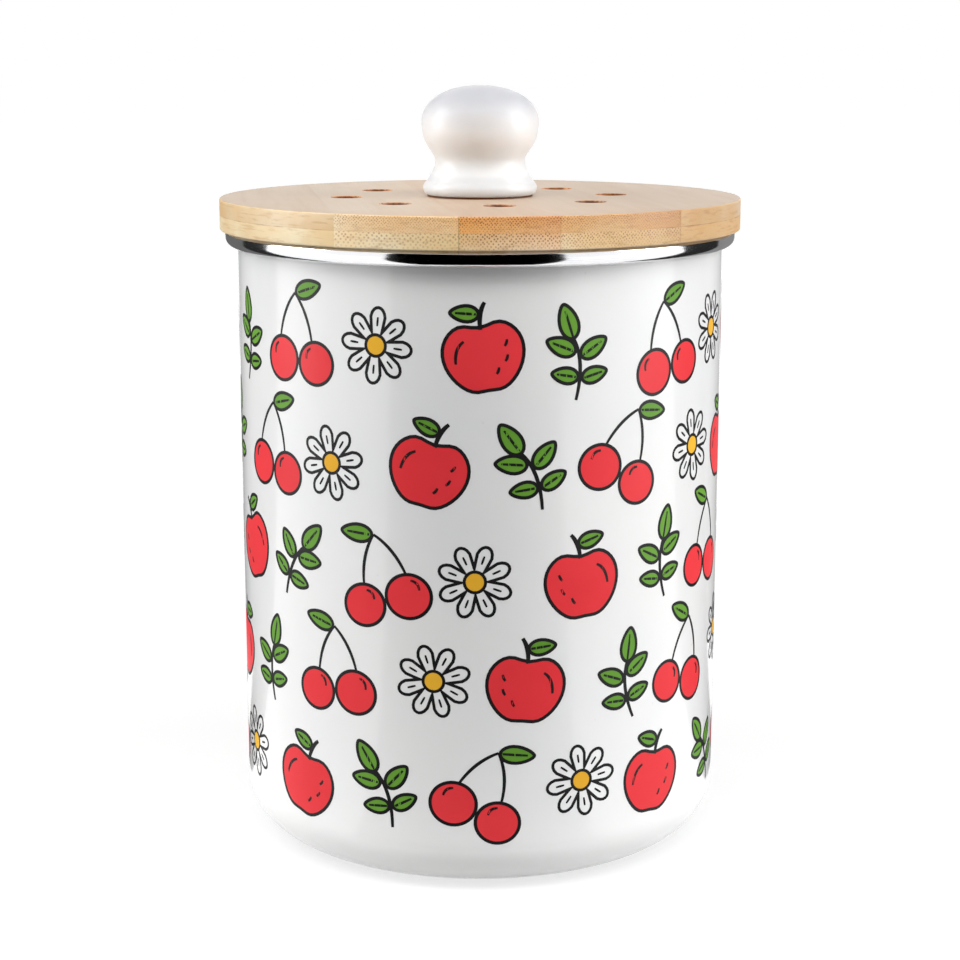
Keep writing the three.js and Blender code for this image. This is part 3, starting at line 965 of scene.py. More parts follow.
@dataclass
class Motif:
    """A flat drawing in millimetres, built up from inked shapes."""

    line: float = 0.95
    bm: BMesh = field(default_factory=bmesh.new)

    def _inked(self, verts: Sequence[BMVert], ink: Ink | None) -> None:
        """Fills a loop of corners with an ink inside a black line.

        Args:
            verts: The loop's corners in order.
            ink: The fill, or None where the white of the pot shows.
        """
        face = self.bm.faces.new(verts)
        face_up([face])
        rim = bmesh.ops.inset_individual(self.bm, faces=[face], thickness=self.line, use_even_offset=True)
        for part in rim["faces"]:
            part.material_index = Ink.LINE.value
        if ink is None:
            bmesh.ops.delete(self.bm, geom=[face], context="FACES_ONLY")
        else:
            face.material_index = ink.value

    def blob(self, centre: Point, size: Point, ink: Ink, dimple: float = 0.0, corners: int = 40) -> None:
        """Draws an oval, with a dimple in its top and a smaller one below for an apple.

        Args:
            centre: Its middle.
            size: Its half width and half height.
            ink: Its fill.
            dimple: How deep its top is dimpled.
            corners: How many corners its outline has.
        """
        matrix = Matrix.Translation((*centre, 0.0)) @ Matrix.Diagonal((*size, 1, 1))
        ring = bmesh.ops.create_circle(self.bm, segments=corners, radius=1.0, matrix=matrix)["verts"]
        for vert in ring:
            side = (vert.co.x - centre[0]) / size[0]
            rise = (vert.co.y - centre[1]) / size[1]
            depth = dimple if rise > 0 else 0.45 * dimple
            vert.co.y -= math.copysign(depth, rise) * math.exp(-(side / 0.34) ** 2)
            vert.co.x += side * size[0] * 0.12 * rise * (dimple > 0)
        self._inked(ring, ink)

    def petals(self, inner: float, outer: float, count: int) -> None:
        """Draws a flower's outline about the drawing's middle, left white inside.

        Args:
            inner: The radius between two petals.
            outer: The radius at a petal's tip.
            count: How many petals it has.
        """
        ring = bmesh.ops.create_circle(self.bm, segments=count * 10, radius=1.0)["verts"]
        for vert in ring:
            wave = abs(math.cos(math.atan2(vert.co.y, vert.co.x) * count / 2)) ** 0.6
            vert.co *= inner + (outer - inner) * wave
        self._inked(ring, None)

    def leaf(self, start: Point, length: float, width: float, turn: float) -> None:
        """Draws a green leaf with a vein.

        Args:
            start: Where its stalk end is.
            length: Its length.
            width: Its half width.
            turn: The way it points, in degrees from the right.
        """
        matrix = Matrix.Translation((*start, 0.0)) @ Matrix.Rotation(math.radians(turn), 4, "Z")
        ring = bmesh.ops.create_circle(self.bm, segments=24, radius=1.0)["verts"]
        for vert in ring:
            share = (vert.co.x + 1) / 2
            vert.co.y *= width * (1 - share * share * 0.35)
            vert.co.x = length * share
        bmesh.ops.transform(self.bm, matrix=matrix, verts=ring)
        self._inked(ring, Ink.GREEN)
        tip = matrix @ Vector((length * 0.78, 0.0, 0.0))
        self.stroke([start, ((start[0] + tip.x) / 2, (start[1] + tip.y) / 2), (tip.x, tip.y)], self.line * 0.8)

    def stroke(self, points: Sequence[Point], width: float | None = None) -> None:
        """Draws a tapering line along a curve.

        Args:
            points: Its start, the point that it bends towards, and its end.
            width: Its width, or None for the usual one.
        """
        start, bend, end = (Vector((*point, 0.0)) for point in points)
        knots = interpolate_bezier(start, start.lerp(bend, 2 / 3), end.lerp(bend, 2 / 3), end, 11)
        last = len(knots) - 1
        path = [self.bm.verts.new(knot) for knot in knots]
        edges = [self.bm.edges.new(pair) for pair in zip(path, path[1:])]
        made = bmesh.ops.extrude_edge_only(self.bm, edges=edges)["geom"]
        for i, (vert, twin) in enumerate(zip(path, picked(made, BMVert))):
            side = (knots[min(i + 1, last)] - knots[max(i - 1, 0)]).cross(Vector((0, 0, 1))).normalized()
            taper = 0.55 + 0.45 * math.sin(math.pi * (0.15 + 0.7 * i / last))
            half = (width or self.line) / 2 * taper
            vert.co = knots[i] + side * half
            twin.co = knots[i] - side * half
        for face in picked(made, BMFace):
            face.material_index = Ink.LINE.value

    def done(self) -> BMesh:
        """Turns every face up and returns the drawing."""
        face_up(self.bm.faces)
        return self.bm


def cherries() -> BMesh:
    """Two cherries on one stalk, with a leaf.

    Returns:
        The drawing.
    """
    drawing = Motif()
    drawing.stroke([(-6.2, 1.2), (-3.5, 8.5), (2.2, 12.2)])
    drawing.stroke([(6.4, -1.2), (6.4, 6.5), (2.2, 12.2)])
    drawing.leaf((2.2, 12.0), 10.5, 3.1, 8)
    drawing.blob((-6.4, -5.0), (6.9, 6.6), Ink.RED)
    drawing.blob((6.8, -7.4), (6.6, 6.3), Ink.RED)
    drawing.stroke([(-9.6, -3.4), (-9.6, -1.0), (-7.4, -0.6)], 0.8)
    drawing.stroke([(3.7, -5.8), (3.7, -3.6), (5.8, -3.2)], 0.8)
    return drawing.done()


def apple() -> BMesh:
    """A round apple with a stalk, a leaf and three pips of shade.

    Returns:
        The drawing.
    """
    drawing = Motif()
    drawing.blob((0.0, -2.5), (11.2, 10.6), Ink.RED, dimple=2.4)
    drawing.stroke([(0.2, 4.6), (0.2, 9.0), (2.4, 11.6)], 1.3)
    drawing.leaf((0.8, 8.6), 8.5, 2.8, 168)
    drawing.stroke([(-7.6, -3.5), (-7.4, 0.8), (-4.6, 2.2)], 0.9)
    for x, y in ((2.6, -7.6), (5.4, -4.6), (5.8, -0.6)):
        drawing.stroke([(x, y), (x + 0.7, y + 0.6), (x + 0.9, y + 1.7)], 0.8)
    return drawing.done()


def daisy() -> BMesh:
    """A white daisy with a yellow middle.

    Returns:
        The drawing.
    """
    drawing = Motif(line=0.85)
    drawing.petals(5.6, 10.6, 8)
    drawing.blob((0.0, 0.0), (3.3, 3.3), Ink.YELLOW, corners=28)
    for way in around(8, 1.0, 0.0):
        drawing.stroke([way.xy * 5.2, way.xy * 6.4, way.xy * 7.6], 0.6)
    return drawing.done()


def sprig() -> BMesh:
    """A bent stalk with five leaves.

    Returns:
        The drawing.
    """
    drawing = Motif()
    drawing.stroke([(-1.0, -12.5), (-2.6, -2.0), (1.6, 4.0)], 1.1)
    for x, y, length, width, turn in ((1.4, 3.4, 10.5, 3.4, 66), (-0.9, -1.0, 9.5, 3.1, 142), (0.2, 0.2, 9.5, 3.1, 16),
                                      (-1.7, -6.8, 8.5, 2.8, 160), (-1.4, -6.4, 8.5, 2.8, 4)):
        drawing.leaf((x, y), length, width, turn)
    return drawing.done()


@dataclass
class BodyPrint:
    """A fired print all round the pot, in staggered rows, as thin films on the wall."""

    low: float = 17.0
    high: float = 190.0
    rows: int = 5
    columns: int = 16
    sway: Point = (1.6, 1.8)
    scale: float = 1.14
    proud: float = 0.035
    sunk: float = 0.03
    slice_width: float = 2.2
    tilts: tuple[float, ...] = (-14.0, 9.0, -6.0, 17.0, -20.0, 5.0, 12.0)

    def build(self, finishes: Finishes) -> None:
        """Builds one film for each kind of motif.

        Args:
            finishes: The materials.
        """
        kinds = {"print_cherries": cherries(), "print_daisies": daisy(), "print_apples": apple(),
                 "print_sprigs": sprig()}
        places: dict[str, list[Matrix]] = {name: [] for name in kinds}
        pitch = math.tau * BODY_RADIUS / self.columns
        rise = (self.high - self.low) / self.rows
        for index in range(self.rows * self.columns):
            row, column = divmod(index, self.columns)
            across = (column + 0.5 * (row % 2)) * pitch + self.sway[0] * math.sin(index * 2.3)
            up = self.low + (row + 0.5) * rise + self.sway[1] * math.sin(index * 1.7)
            turn = Matrix.Rotation(math.radians(self.tilts[index % len(self.tilts)]), 4, "Z")
            flip = Matrix.Diagonal((-1 if (row + column) % 2 else 1, 1, 1, 1))
            name = list(kinds)[(column + 2 * row + row // 2) % len(kinds)]
            places[name].append(Matrix.Translation((across, up, 0)) @ turn @ flip @ Matrix.Scale(self.scale, 4))
        for name, flat in kinds.items():
            tie(add_object(name, self._film(flat, places[name]), finishes.inks), Body.CANISTER, Slot.ENAMEL)

    def _film(self, flat: BMesh, places: Sequence[Matrix]) -> BMesh:
        """Copies a flat drawing to its places, gives it a thickness and wraps it round the pot.

        Args:
            flat: The drawing, which is freed.
            places: Where it goes on the unrolled wall.

        Returns:
            The wrapped film.
        """
        sheet = stored("motif", flat)
        copies = [moved(copied(sheet), matrix) for matrix in places]
        bpy.data.meshes.remove(sheet)
        for bm in copies:
            left, right = (edge(vert.co.x for vert in bm.verts) / self.slice_width for edge in (min, max))
            for i in range(math.floor(left) + 1, math.ceil(right)):
                bmesh.ops.bisect_plane(bm, geom=whole(bm), plane_co=(i * self.slice_width, 0, 0), plane_no=(1, 0, 0))
            face_up(bm.faces)
        film = merged(copies)
        front = bmesh.ops.extrude_face_region(film, geom=film.faces[:], use_keep_orig=True)["geom"]
        raised = set(picked(front, BMVert))
        for vert in film.verts:
            reach = BODY_RADIUS + (self.proud if vert in raised else -self.sunk)
            angle = vert.co.x / BODY_RADIUS - math.pi / 2
            vert.co = Vector((reach * math.cos(angle), reach * math.sin(angle), vert.co.y))
        bmesh.ops.recalc_face_normals(film, faces=film.faces)
        return film


# Lid


@dataclass(frozen=True)
class Strip:
    """One strip of a board: its colour at its left and right side, how far apart its fibre bundles
    are, and how dark they are on its ends.
    """

    left: Screen
    right: Screen
    spacing: float = 1.0
    depth: float = 0.5


@dataclass
class LidBoards:
    """Two boards glued up from strips, with the vents, the plug ring and the seal."""

    radius: float = 86.0
    joints: tuple[float, ...] = (-53.32, -17.974, 12.212, 52.202)
    joint_shades: tuple[float, ...] = (0.0, 0.5, 0.25, 0.3)
    edge_round: float = 0.5
    vent_count: int = 8
    vent_pitch: float = 44.3
    vent_radius: float = 5.0
    vent_chamfer: float = 0.3
    overrun: float = 2.0
    pilot_stop: float = 0.2
    ring_outer: float = 75.6
    ring_inner: float = 69.2
    ring_height: float = 8.0
    groove_height: float = 3.6
    groove_depth: float = 2.4
    seal_back: float = 73.5
    seal_front: float = 76.0
    fin_tip: float = 78.7
    fin_thickness: float = 0.8
    fin_lift: float = 0.6
    top_seed: float = 0.2
    ring_seed: float = 0.37
    segments: int = 320
    ring_segments: int = 256
    top_strips: tuple[Strip, ...] = (
        Strip((206, 185, 149), (221, 198, 160), 1.0, 0.0),
        Strip((242, 234, 212), (254, 219, 168), 0.9, 0.65),
        Strip((254, 204, 140), (231, 182, 132), 1.0, 1.0),
        Strip((236, 204, 160), (186, 145, 87), 0.9, 0.85),
        Strip((191, 157, 108), (208, 190, 166), 0.9, 0.3),
    )
    low_strips: tuple[Strip, ...] = (
        Strip((219, 203, 168), (237, 220, 180), 1.0, 0.0),
        Strip((255, 247, 220), (255, 238, 194), 1.45, 0.5),
        Strip((255, 237, 200), (253, 224, 190), 1.25, 0.9),
        Strip((253, 240, 208), (202, 177, 131), 1.1, 0.8),
        Strip((199, 160, 109), (213, 183, 141), 0.9, 0.15),
    )
    ring_strip: Strip = Strip((222, 184, 134), (222, 184, 134), 1.1, 0.4)

    @property
    def low(self) -> float:
        """The level of the lid's underside."""
        return bottom_of("lid_bottom_strip_3")

    @property
    def seam(self) -> float:
        """The level where the two boards meet."""
        return top_of("lid_bottom_strip_3")

    @property
    def top(self) -> float:
        """The level of the lid's top."""
        return top_of("lid_top_strip_3")

    def build(self, finishes: Finishes) -> None:
        """Builds and dresses the strips, the ring and the seal.

        Args:
            finishes: The materials.
        """
        boards = (("top", self._blank(self.seam, self.top, 0.0, self.edge_round), self.top_strips, self.top_seed),
                  ("bottom", self._blank(self.low, self.seam, self.edge_round, 0.0), self.low_strips, 0.0))
        edges = (-self.radius, *self.joints, self.radius)
        for side, blank, strips, seed in boards:
            board = cut_away(blank, self._holes(side == "bottom"))
            for i, sawn in enumerate(self._strips(board)):
                obj = add_object(f"{side}_board_strip_{i + 1}", sawn, [finishes.by_slot[Slot.BAMBOO]])
                self._mark(obj, strips[i], 0.011 * (i + 1) + seed, edges[i], edges[i + 1])
                tie(obj, Body.LID, Slot.BAMBOO, f"lid_{side}_strip_{i + 1}")
        ring = add_object("plug_ring", self._ring(), [finishes.ring])
        self._mark(ring, self.ring_strip, self.ring_seed, -self.radius, self.radius)
        tie(ring, Body.LID, Slot.BAMBOO, "lid_plug_ring")
        finishes.add("seal_ring", self._seal(), Body.LID, Slot.SILICONE, "lid_seal")

    def _mark(self, obj: Object, strip: Strip, seed: float, left: float, right: float) -> None:
        """Stores a piece's colours, its place in the timber and its bored faces for its material.

        Args:
            obj: The piece.
            strip: Its colours and fibres.
            seed: How far its grain is shifted, in metres.
            left: Where its left side is across the lid.
            right: Where its right side is.
        """
        mesh = obj.data
        across = Vector((math.cos(LID_TURN), math.sin(LID_TURN), 0.0))
        first, last = Vector(srgb(*strip.left)), Vector(srgb(*strip.right))
        tints = []
        for vert in mesh.vertices:
            tints.extend(first.lerp(last, (vert.co.dot(across) / MM - left) / (right - left)))
        grain = [seed, strip.spacing * MM, strip.depth] * len(mesh.vertices)
        bored = [float(self._is_bored(face)) for face in mesh.polygons]
        for name, kind, domain, entry, values in (("tint", "FLOAT_COLOR", "POINT", "color", tints),
                                                  ("grain", "FLOAT_VECTOR", "POINT", "vector", grain),
                                                  ("bored", "FLOAT", "FACE", "value", bored)):
            mesh.attributes.new(name, kind, domain).data.foreach_set(entry, values)

    def _is_bored(self, face: MeshPolygon) -> bool:
        """Tells whether a face is the wall of a vent.

        Args:
            face: The face, in metres.

        Returns:
            True if it is.
        """
        reach = (self.vent_radius + self.vent_chamfer) * MM
        vents = around(self.vent_count, self.vent_pitch, LID_TURN)
        return abs(face.normal.z) < 0.95 and any((face.center.xy - spot.xy * MM).length < reach for spot in vents)

    def _blank(self, low: float, high: float, low_round: float, high_round: float) -> BMesh:
        """One board before its holes, with its outer edges rounded."""
        return turned([(SCREW_HOLE, low), (self.radius, low, low_round, 5), (self.radius, high, high_round, 5),
                       (SCREW_HOLE, high)], self.segments)

    def _holes(self, with_pilots: bool) -> BMesh:
        """Makes the cutters for a board's holes.

        Args:
            with_pilots: True for the wood screws' pilots too.

        Returns:
            The cutters in one mesh.
        """
        under, over = self.low - self.overrun, self.top + self.overrun
        mouth, stop = self.vent_radius + self.vent_chamfer, self.seam - self.pilot_stop
        tools = drills(around(self.vent_count, self.vent_pitch, LID_TURN), [
            (0.0, under),
            (self.vent_radius, under),
            (self.vent_radius, self.top - self.vent_chamfer, 0.25, 3),
            (mouth, self.top),
            (mouth + self.overrun, over),
            (0.0, over),
        ], 48)
        if with_pilots:
            tools += drills(collar_screws(), [(0.0, under), (COLLAR_HOLE, under), (COLLAR_HOLE, stop), (0.0, stop)], 24)
        return merged(tools)

    def _strips(self, board: BMesh) -> list[BMesh]:
        """Saws a board into its strips, with closed ends.

        Args:
            board: The board, which is freed.

        Returns:
            The strips from left to right.
        """
        sheet = stored("board", board)
        normal = Matrix.Rotation(LID_TURN, 3, "Z") @ Vector((1, 0, 0))
        edges = (-self.radius - 1, *self.joints, self.radius + 1)
        strips = [copied(sheet) for _ in edges[1:]]
        bpy.data.meshes.remove(sheet)
        for bm, left, right in zip(strips, edges, edges[1:]):
            for edge, facing in ((left, -normal), (right, normal)):
                made = bmesh.ops.bisect_plane(bm, geom=whole(bm), plane_co=normal * edge, plane_no=facing,
                                              clear_outer=True)
                cut = picked(made["geom_cut"], BMEdge)
                if cut:
                    bmesh.ops.holes_fill(bm, edges=cut, sides=0)
            bmesh.ops.recalc_face_normals(bm, faces=bm.faces)
        return strips

    def _ring(self) -> BMesh:
        """The plug ring, with the seal's groove.

        Returns:
            Its mesh.
        """
        low, top = bottom_of("lid_plug_ring"), top_of("lid_plug_ring")
        middle, half = (low + top) / 2, self.groove_height / 2
        floor = self.ring_outer - self.groove_depth
        return turned([
            (self.ring_inner, low, 0.5, 3),
            (self.ring_outer, low, 1.0, 4),
            (self.ring_outer, middle - half, 0.15, 2),
            (floor, middle - half),
            (floor, middle + half),
            (self.ring_outer, middle + half, 0.15, 2),
            (self.ring_outer, top),
            (self.ring_inner, top),
        ], self.ring_segments)

    def _seal(self) -> BMesh:
        """The silicone ring, with two soft fins that reach up and out.

        Returns:
            Its mesh.
        """
        low, top = bottom_of("lid_seal"), top_of("lid_seal")
        back, front, tip = self.seal_back, self.seal_front, self.fin_tip
        fin, lift = self.fin_thickness, self.fin_lift
        return turned([
            (back, low, 0.2, 2),
            (front, low, 0.2, 2),
            (tip, low + lift, 0.15, 3),
            (tip, low + lift + fin / 2, 0.15, 3),
            (front, low + fin, 0.3, 3),
            (front, top - fin, 0.3, 3),
            (tip, top - fin + lift, 0.15, 3),
            (tip, top - fin + lift + fin / 2, 0.15, 3),
            (front, top, 0.2, 2),
            (back, top, 0.2, 2),
        ], self.ring_segments)


@dataclass
class ScrewForm:
    """A pan-head screw with a crossed recess, which points up with its head below. The shares are of
    the head's radius and height.
    """

    head_radius: float
    head_height: float
    shank_radius: float
    thread_depth: float
    pitch: float
    tip: float
    crown_share: float = 0.45
    slot_share: float = 0.22
    cross_share: float = 1.1
    tip_share: float = 0.2
    plain: float = 1.0

    def build(self, seat: float, top: float) -> BMesh:
        """Builds the screw on the Z axis.

        Args:
            seat: The level of the underside of its head, which faces up.
            top: The level of the shank's end.

        Returns:
            The screw in millimetres.
        """
        under = seat - self.head_height
        outline = [
            (0.0, under),
            (self.head_radius * self.crown_share, under, 1.0, 3),
            (self.head_radius, seat - self.head_height * self.crown_share, 0.6, 4),
            (self.head_radius, seat, 0.15, 2),
            (self.shank_radius, seat),
        ]
        root, height, end = self.shank_radius - self.thread_depth, seat + self.plain, top - self.tip
        while height + self.pitch < end:
            outline += [(root, height), (self.shank_radius, height + self.pitch / 2)]
            height += self.pitch
        outline += [(root, end), (self.shank_radius * self.tip_share, top), (0.0, top)]
        screw = turned(outline, 40, closed=False)
        size = Matrix.Diagonal((self.head_radius * self.cross_share, self.head_radius * self.slot_share,
                                self.head_height, 1))
        for turn in (0.0, math.pi / 2):
            tool = bmesh.new()
            spot = Matrix.Translation((0, 0, under)) @ Matrix.Rotation(turn, 4, "Z")
            bmesh.ops.create_cube(tool, size=1.0, matrix=spot @ size)
            screw = cut_away(screw, tool)
        return screw


@dataclass
class KnobSet:
    """The glazed knob and what holds it on the lid."""

    ball_radius: float = 19.45
    ball_height: float = 23.5
    neck_radius: float = 14.9
    neck_height: float = 11.2
    foot_radius: float = 17.75
    foot_height: float = 4.4
    flange_radius: float = 18.85
    flange_height: float = 2.1
    flange_under: float = 1.5
    bore_radius: float = 4.5
    bore_depth: float = 14.6
    insert_radius: float = 4.2
    insert_length: float = 14.0
    insert_inset: float = 0.3
    insert_bands: int = 5
    insert_waist: float = 0.5
    washer_radius: float = 6.0
    screw: ScrewForm = field(default_factory=lambda: ScrewForm(4.0, 2.4, 2.0, 0.28, 0.7, 0.6))

    def build(self, finishes: Finishes) -> None:
        """Builds and dresses the knob, cushion, insert, washer and screw.

        Args:
            finishes: The materials.
        """
        foot = bottom_of("knob")
        screw = self.screw.build(bottom_of("knob_washer"), top_of("knob_screw"))
        finishes.add("glazed_knob", self._knob(foot), Body.LID, Slot.GLAZE, "knob")
        finishes.add("cushion_disc", self._cushion(), Body.LID, Slot.RUBBER, "knob_cushion")
        finishes.add("brass_insert", self._insert(foot), Body.LID, Slot.BRASS, "knob_insert")
        finishes.add("flat_washer", self._washer(), Body.LID, Slot.ZINC, "knob_washer")
        finishes.add("machine_screw", screw, Body.LID, Slot.ZINC, "knob_screw")

    def _knob(self, foot: float) -> BMesh:
        """The knob: a flared foot, a waist and a flattened ball.

        Args:
            foot: The level of its underside.

        Returns:
            Its mesh.
        """
        rise = self.foot_height - self.flange_height
        start = (self.flange_radius - self.flange_under, 0.0)
        outline = [
            (0.0, self.bore_depth),
            (self.bore_radius, self.bore_depth, 0.3, 2),
            (self.bore_radius, 0.0, 0.4, 3),
            (*start, 0.4, 3),
        ]
        for curve in (
            Curve((self.flange_radius, self.flange_height), (2 / 3, 0.25 / self.flange_height), (1.0, 0.5), 8),
            Curve((self.foot_radius, self.foot_height), (0.0, 1.1 / rise), (0.5, 1 - 0.55 / rise), 8),
            Curve((self.neck_radius, self.neck_height), (0.44, 0.35), (1.0, 0.59), 14),
            Curve((self.ball_radius, self.ball_height), (0.0, 0.22), (1.0, 0.37), 20),
            Curve((0.0, top_of("knob") - foot), (0.0, 0.6), (0.4, 1.0), 24),
        ):
            outline += curve.corners(start)
            start = curve.end
        return moved(turned(outline, 160, closed=False), Matrix.Translation((0, 0, foot)))

    def _cushion(self) -> BMesh:
        """The thin rubber disc under the knob."""
        low, top, reach = bottom_of("knob_cushion"), top_of("knob_cushion"), reach_of("knob_cushion")
        return turned([(SCREW_HOLE, low), (reach, low, 0.15, 2), (reach, top, 0.15, 2), (SCREW_HOLE, top)], 128)

    def _insert(self, foot: float) -> BMesh:
        """The threaded tube, with waists between the bands that the cement grips.

        Args:
            foot: The level of the knob's underside.

        Returns:
            Its mesh.
        """
        low, band = foot + self.insert_inset, self.insert_length / self.insert_bands
        outline = [(SCREW_HOLE, low, 0.3, 2)]
        for i in range(self.insert_bands):
            radius = self.insert_radius - i % 2 * self.insert_waist
            outline += [(radius, low + end * band, 0.12, 2) for end in (i, i + 1)]
        return turned([*outline, (SCREW_HOLE, low + self.insert_length)], 64)

    def _washer(self) -> BMesh:
        """The stamped washer, one edge rolled by the punch."""
        low, top = bottom_of("knob_washer"), top_of("knob_washer")
        return turned([(SCREW_HOLE, low, 0.1, 2), (self.washer_radius, low, 0.3, 4),
                       (self.washer_radius, top, 0.1, 2), (SCREW_HOLE, top)], 96)


@dataclass
class FilterSet:
    """The collar under the lid, its screws, the slotted holder and the carbon pad."""

    socket_inner: float = 60.9
    socket_outer: float = 62.5
    flange_radius: float = 68.5
    flange_thickness: float = 1.6
    holder_radius: float = 60.6
    holder_inner: float = 59.0
    holder_flange: float = 2.2
    floor_thickness: float = 1.8
    snap_width: float = 1.6
    snap_height: float = 0.2
    snap_gap: float = 0.3
    hub_radius: float = 11.0
    spokes: int = 6
    spoke_width: float = 5.0
    slot_rings: int = 5
    slot_width: float = 3.2
    slot_ledge: float = 3.0
    slot_step: float = 2.5
    pull_length: float = 46.0
    pull_drop: float = 7.0
    pull_thickness: float = 3.0
    pull_round: float = 0.6
    pad_radius: float = 58.7
    pad_steps: tuple[int, ...] = (8, 16, 24, 32, 40, 48, 54)
    segments: int = 224
    screw: ScrewForm = field(default_factory=lambda: ScrewForm(2.4, 1.6, 1.4, 0.3, 0.9, 1.8))

    def build(self, finishes: Finishes) -> None:
        """Builds and dresses the collar, screws, holder and pad.

        Args:
            finishes: The materials.
        """
        finishes.add("socket_collar", self._collar(), Body.LID, Slot.PLASTIC, "filter_collar")
        seat = top_of("filter_collar") - self.flange_thickness
        for i, spot in enumerate(collar_screws()):
            screw = self.screw.build(seat, top_of("collar_screw_1"))
            moved(screw, Matrix.Translation(spot) @ Matrix.Rotation(0.5 + 1.1 * i, 4, "Z"))
            finishes.add(f"wood_screw_{i + 1}", screw, Body.LID, Slot.ZINC, f"collar_screw_{i + 1}")
        finishes.add("slotted_holder", self._holder(), Body.FILTER, Slot.PLASTIC, "filter_holder")
        finishes.add("carbon_disc", self._pad(), Body.FILTER, Slot.CARBON, "filter_pad")

    @property
    def floor(self) -> float:
        """The level of the top of the holder's floor, on which the pad lies."""
        return bottom_of("filter_pad")

    @property
    def snap(self) -> float:
        """The level of the holder's snap ridge and the collar's groove."""
        return (self.floor + top_of("filter_holder")) / 2

    def _collar(self) -> BMesh:
        """The collar: a flat flange with four screw holes, and a socket with a snap groove.

        Returns:
            Its mesh.
        """
        low, top, half = bottom_of("filter_collar"), top_of("filter_collar"), self.snap_width / 2 + self.snap_gap
        under = top - self.flange_thickness
        blank = turned([
            (self.socket_inner, top),
            (self.flange_radius, top, 0.2, 2),
            (self.flange_radius, under, 0.4, 3),
            (self.socket_outer, under, 0.8, 5),
            (self.socket_outer, low, 0.3, 3),
            (self.socket_inner, low, 0.5, 4),
            (self.socket_inner, self.snap - half),
            (self.socket_inner + self.snap_height, self.snap, 0.3, 3),
            (self.socket_inner, self.snap + half),
        ], self.segments)
        tool = [(0.0, low - 1), (COLLAR_HOLE, low - 1), (COLLAR_HOLE, top + 1), (0.0, top + 1)]
        return cut_away(blank, merged(drills(collar_screws(), tool, 32)))

    def _holder(self) -> BMesh:
        """The cage: a wall with a snap ridge, a slotted floor and a finger bar.

        Returns:
            Its mesh.
        """
        low, top, half = self.floor - self.floor_thickness, top_of("filter_holder"), self.snap_width / 2
        reach = self.holder_radius + self.holder_flange
        wall = turned([
            (self.holder_inner, low),
            (reach, low, 0.5, 4),
            (reach, self.floor, 0.3, 3),
            (self.holder_radius, self.floor, 0.25, 3),
            (self.holder_radius, self.snap - half),
            (self.holder_radius + self.snap_height, self.snap, 0.3, 3),
            (self.holder_radius, self.snap + half),
            (self.holder_radius, top, 0.3, 3),
            (self.holder_inner, top, 0.3, 3),
        ], self.segments)
        turn = Matrix.Rotation(LID_TURN, 4, "Z")
        return merged([wall, moved(self._plate(low), turn), moved(self._bar(low), turn)])

    def _plate(self, low: float) -> BMesh:
        """The floor plate with rings of curved slots between straight spokes.

        Args:
            low: The level of its underside.

        Returns:
            Its mesh.
        """
        bm = bmesh.new()
        bmesh.ops.create_circle(bm, segments=168, radius=(self.holder_inner + self.holder_radius) / 2)
        half = self.slot_width / 2
        first, last = self.hub_radius + half, self.pad_radius - self.slot_ledge - half
        for ring in range(self.slot_rings):
            radius = first + (last - first) * ring / (self.slot_rings - 1)
            edge = math.asin((self.spoke_width + self.slot_width) / 2 / radius) - half / radius
            for spoke in range(self.spokes):
                start, end = (way * math.tau / self.spokes for way in (spoke, spoke + 1))
                self._slot(bm, radius, start + edge, end - edge)
        bmesh.ops.triangle_fill(bm, use_beauty=True, use_dissolve=False, edges=bm.edges[:], normal=(0, 0, 1))
        made = bmesh.ops.extrude_face_region(bm, geom=bm.faces[:], use_keep_orig=True)["geom"]
        bmesh.ops.translate(bm, vec=(0, 0, self.floor - low), verts=picked(made, BMVert))
        bmesh.ops.translate(bm, vec=(0, 0, low), verts=bm.verts)
        bmesh.ops.recalc_face_normals(bm, faces=bm.faces)
        return bm

    def _slot(self, bm: BMesh, radius: float, start: float, end: float) -> None:
        """Draws the outline of one curved slot with round ends.

        Args:
            bm: The mesh that gets the outline.
            radius: The radius of the slot's middle line.
            start: The angle of its first end.
            end: The angle of its last end.
        """
        half = self.slot_width / 2
        sketch = bmesh.new()
        pair = [sketch.verts.new((radius + side, 0, 0)) for side in (-half, half)]
        bmesh.ops.rotate(sketch, cent=(0, 0, 0), matrix=Matrix.Rotation(start, 3, "Z"), verts=pair)
        steps = max(6, math.ceil(radius * (end - start) / self.slot_step))
        bmesh.ops.spin(sketch, geom=[*pair, sketch.edges.new(pair)], cent=(0, 0, 0), axis=(0, 0, 1),
                       angle=end - start, steps=steps)
        bmesh.ops.dissolve_faces(sketch, faces=sketch.faces[:])
        ends = [vert for vert in sketch.verts for angle in (start, end)
                if abs(math.remainder(math.atan2(vert.co.y, vert.co.x) - angle, math.tau)) < WELD]
        bmesh.ops.bevel(sketch, geom=ends, offset=half * 0.97, offset_type="OFFSET", segments=5, profile=0.5,
                        affect="VERTICES", material=-1)
        loop = [bm.verts.new(corner.vert.co) for corner in sketch.faces[:][0].loops]
        for first, second in zip(loop, loop[1:] + loop[:1]):
            bm.edges.new((first, second))
        sketch.free()

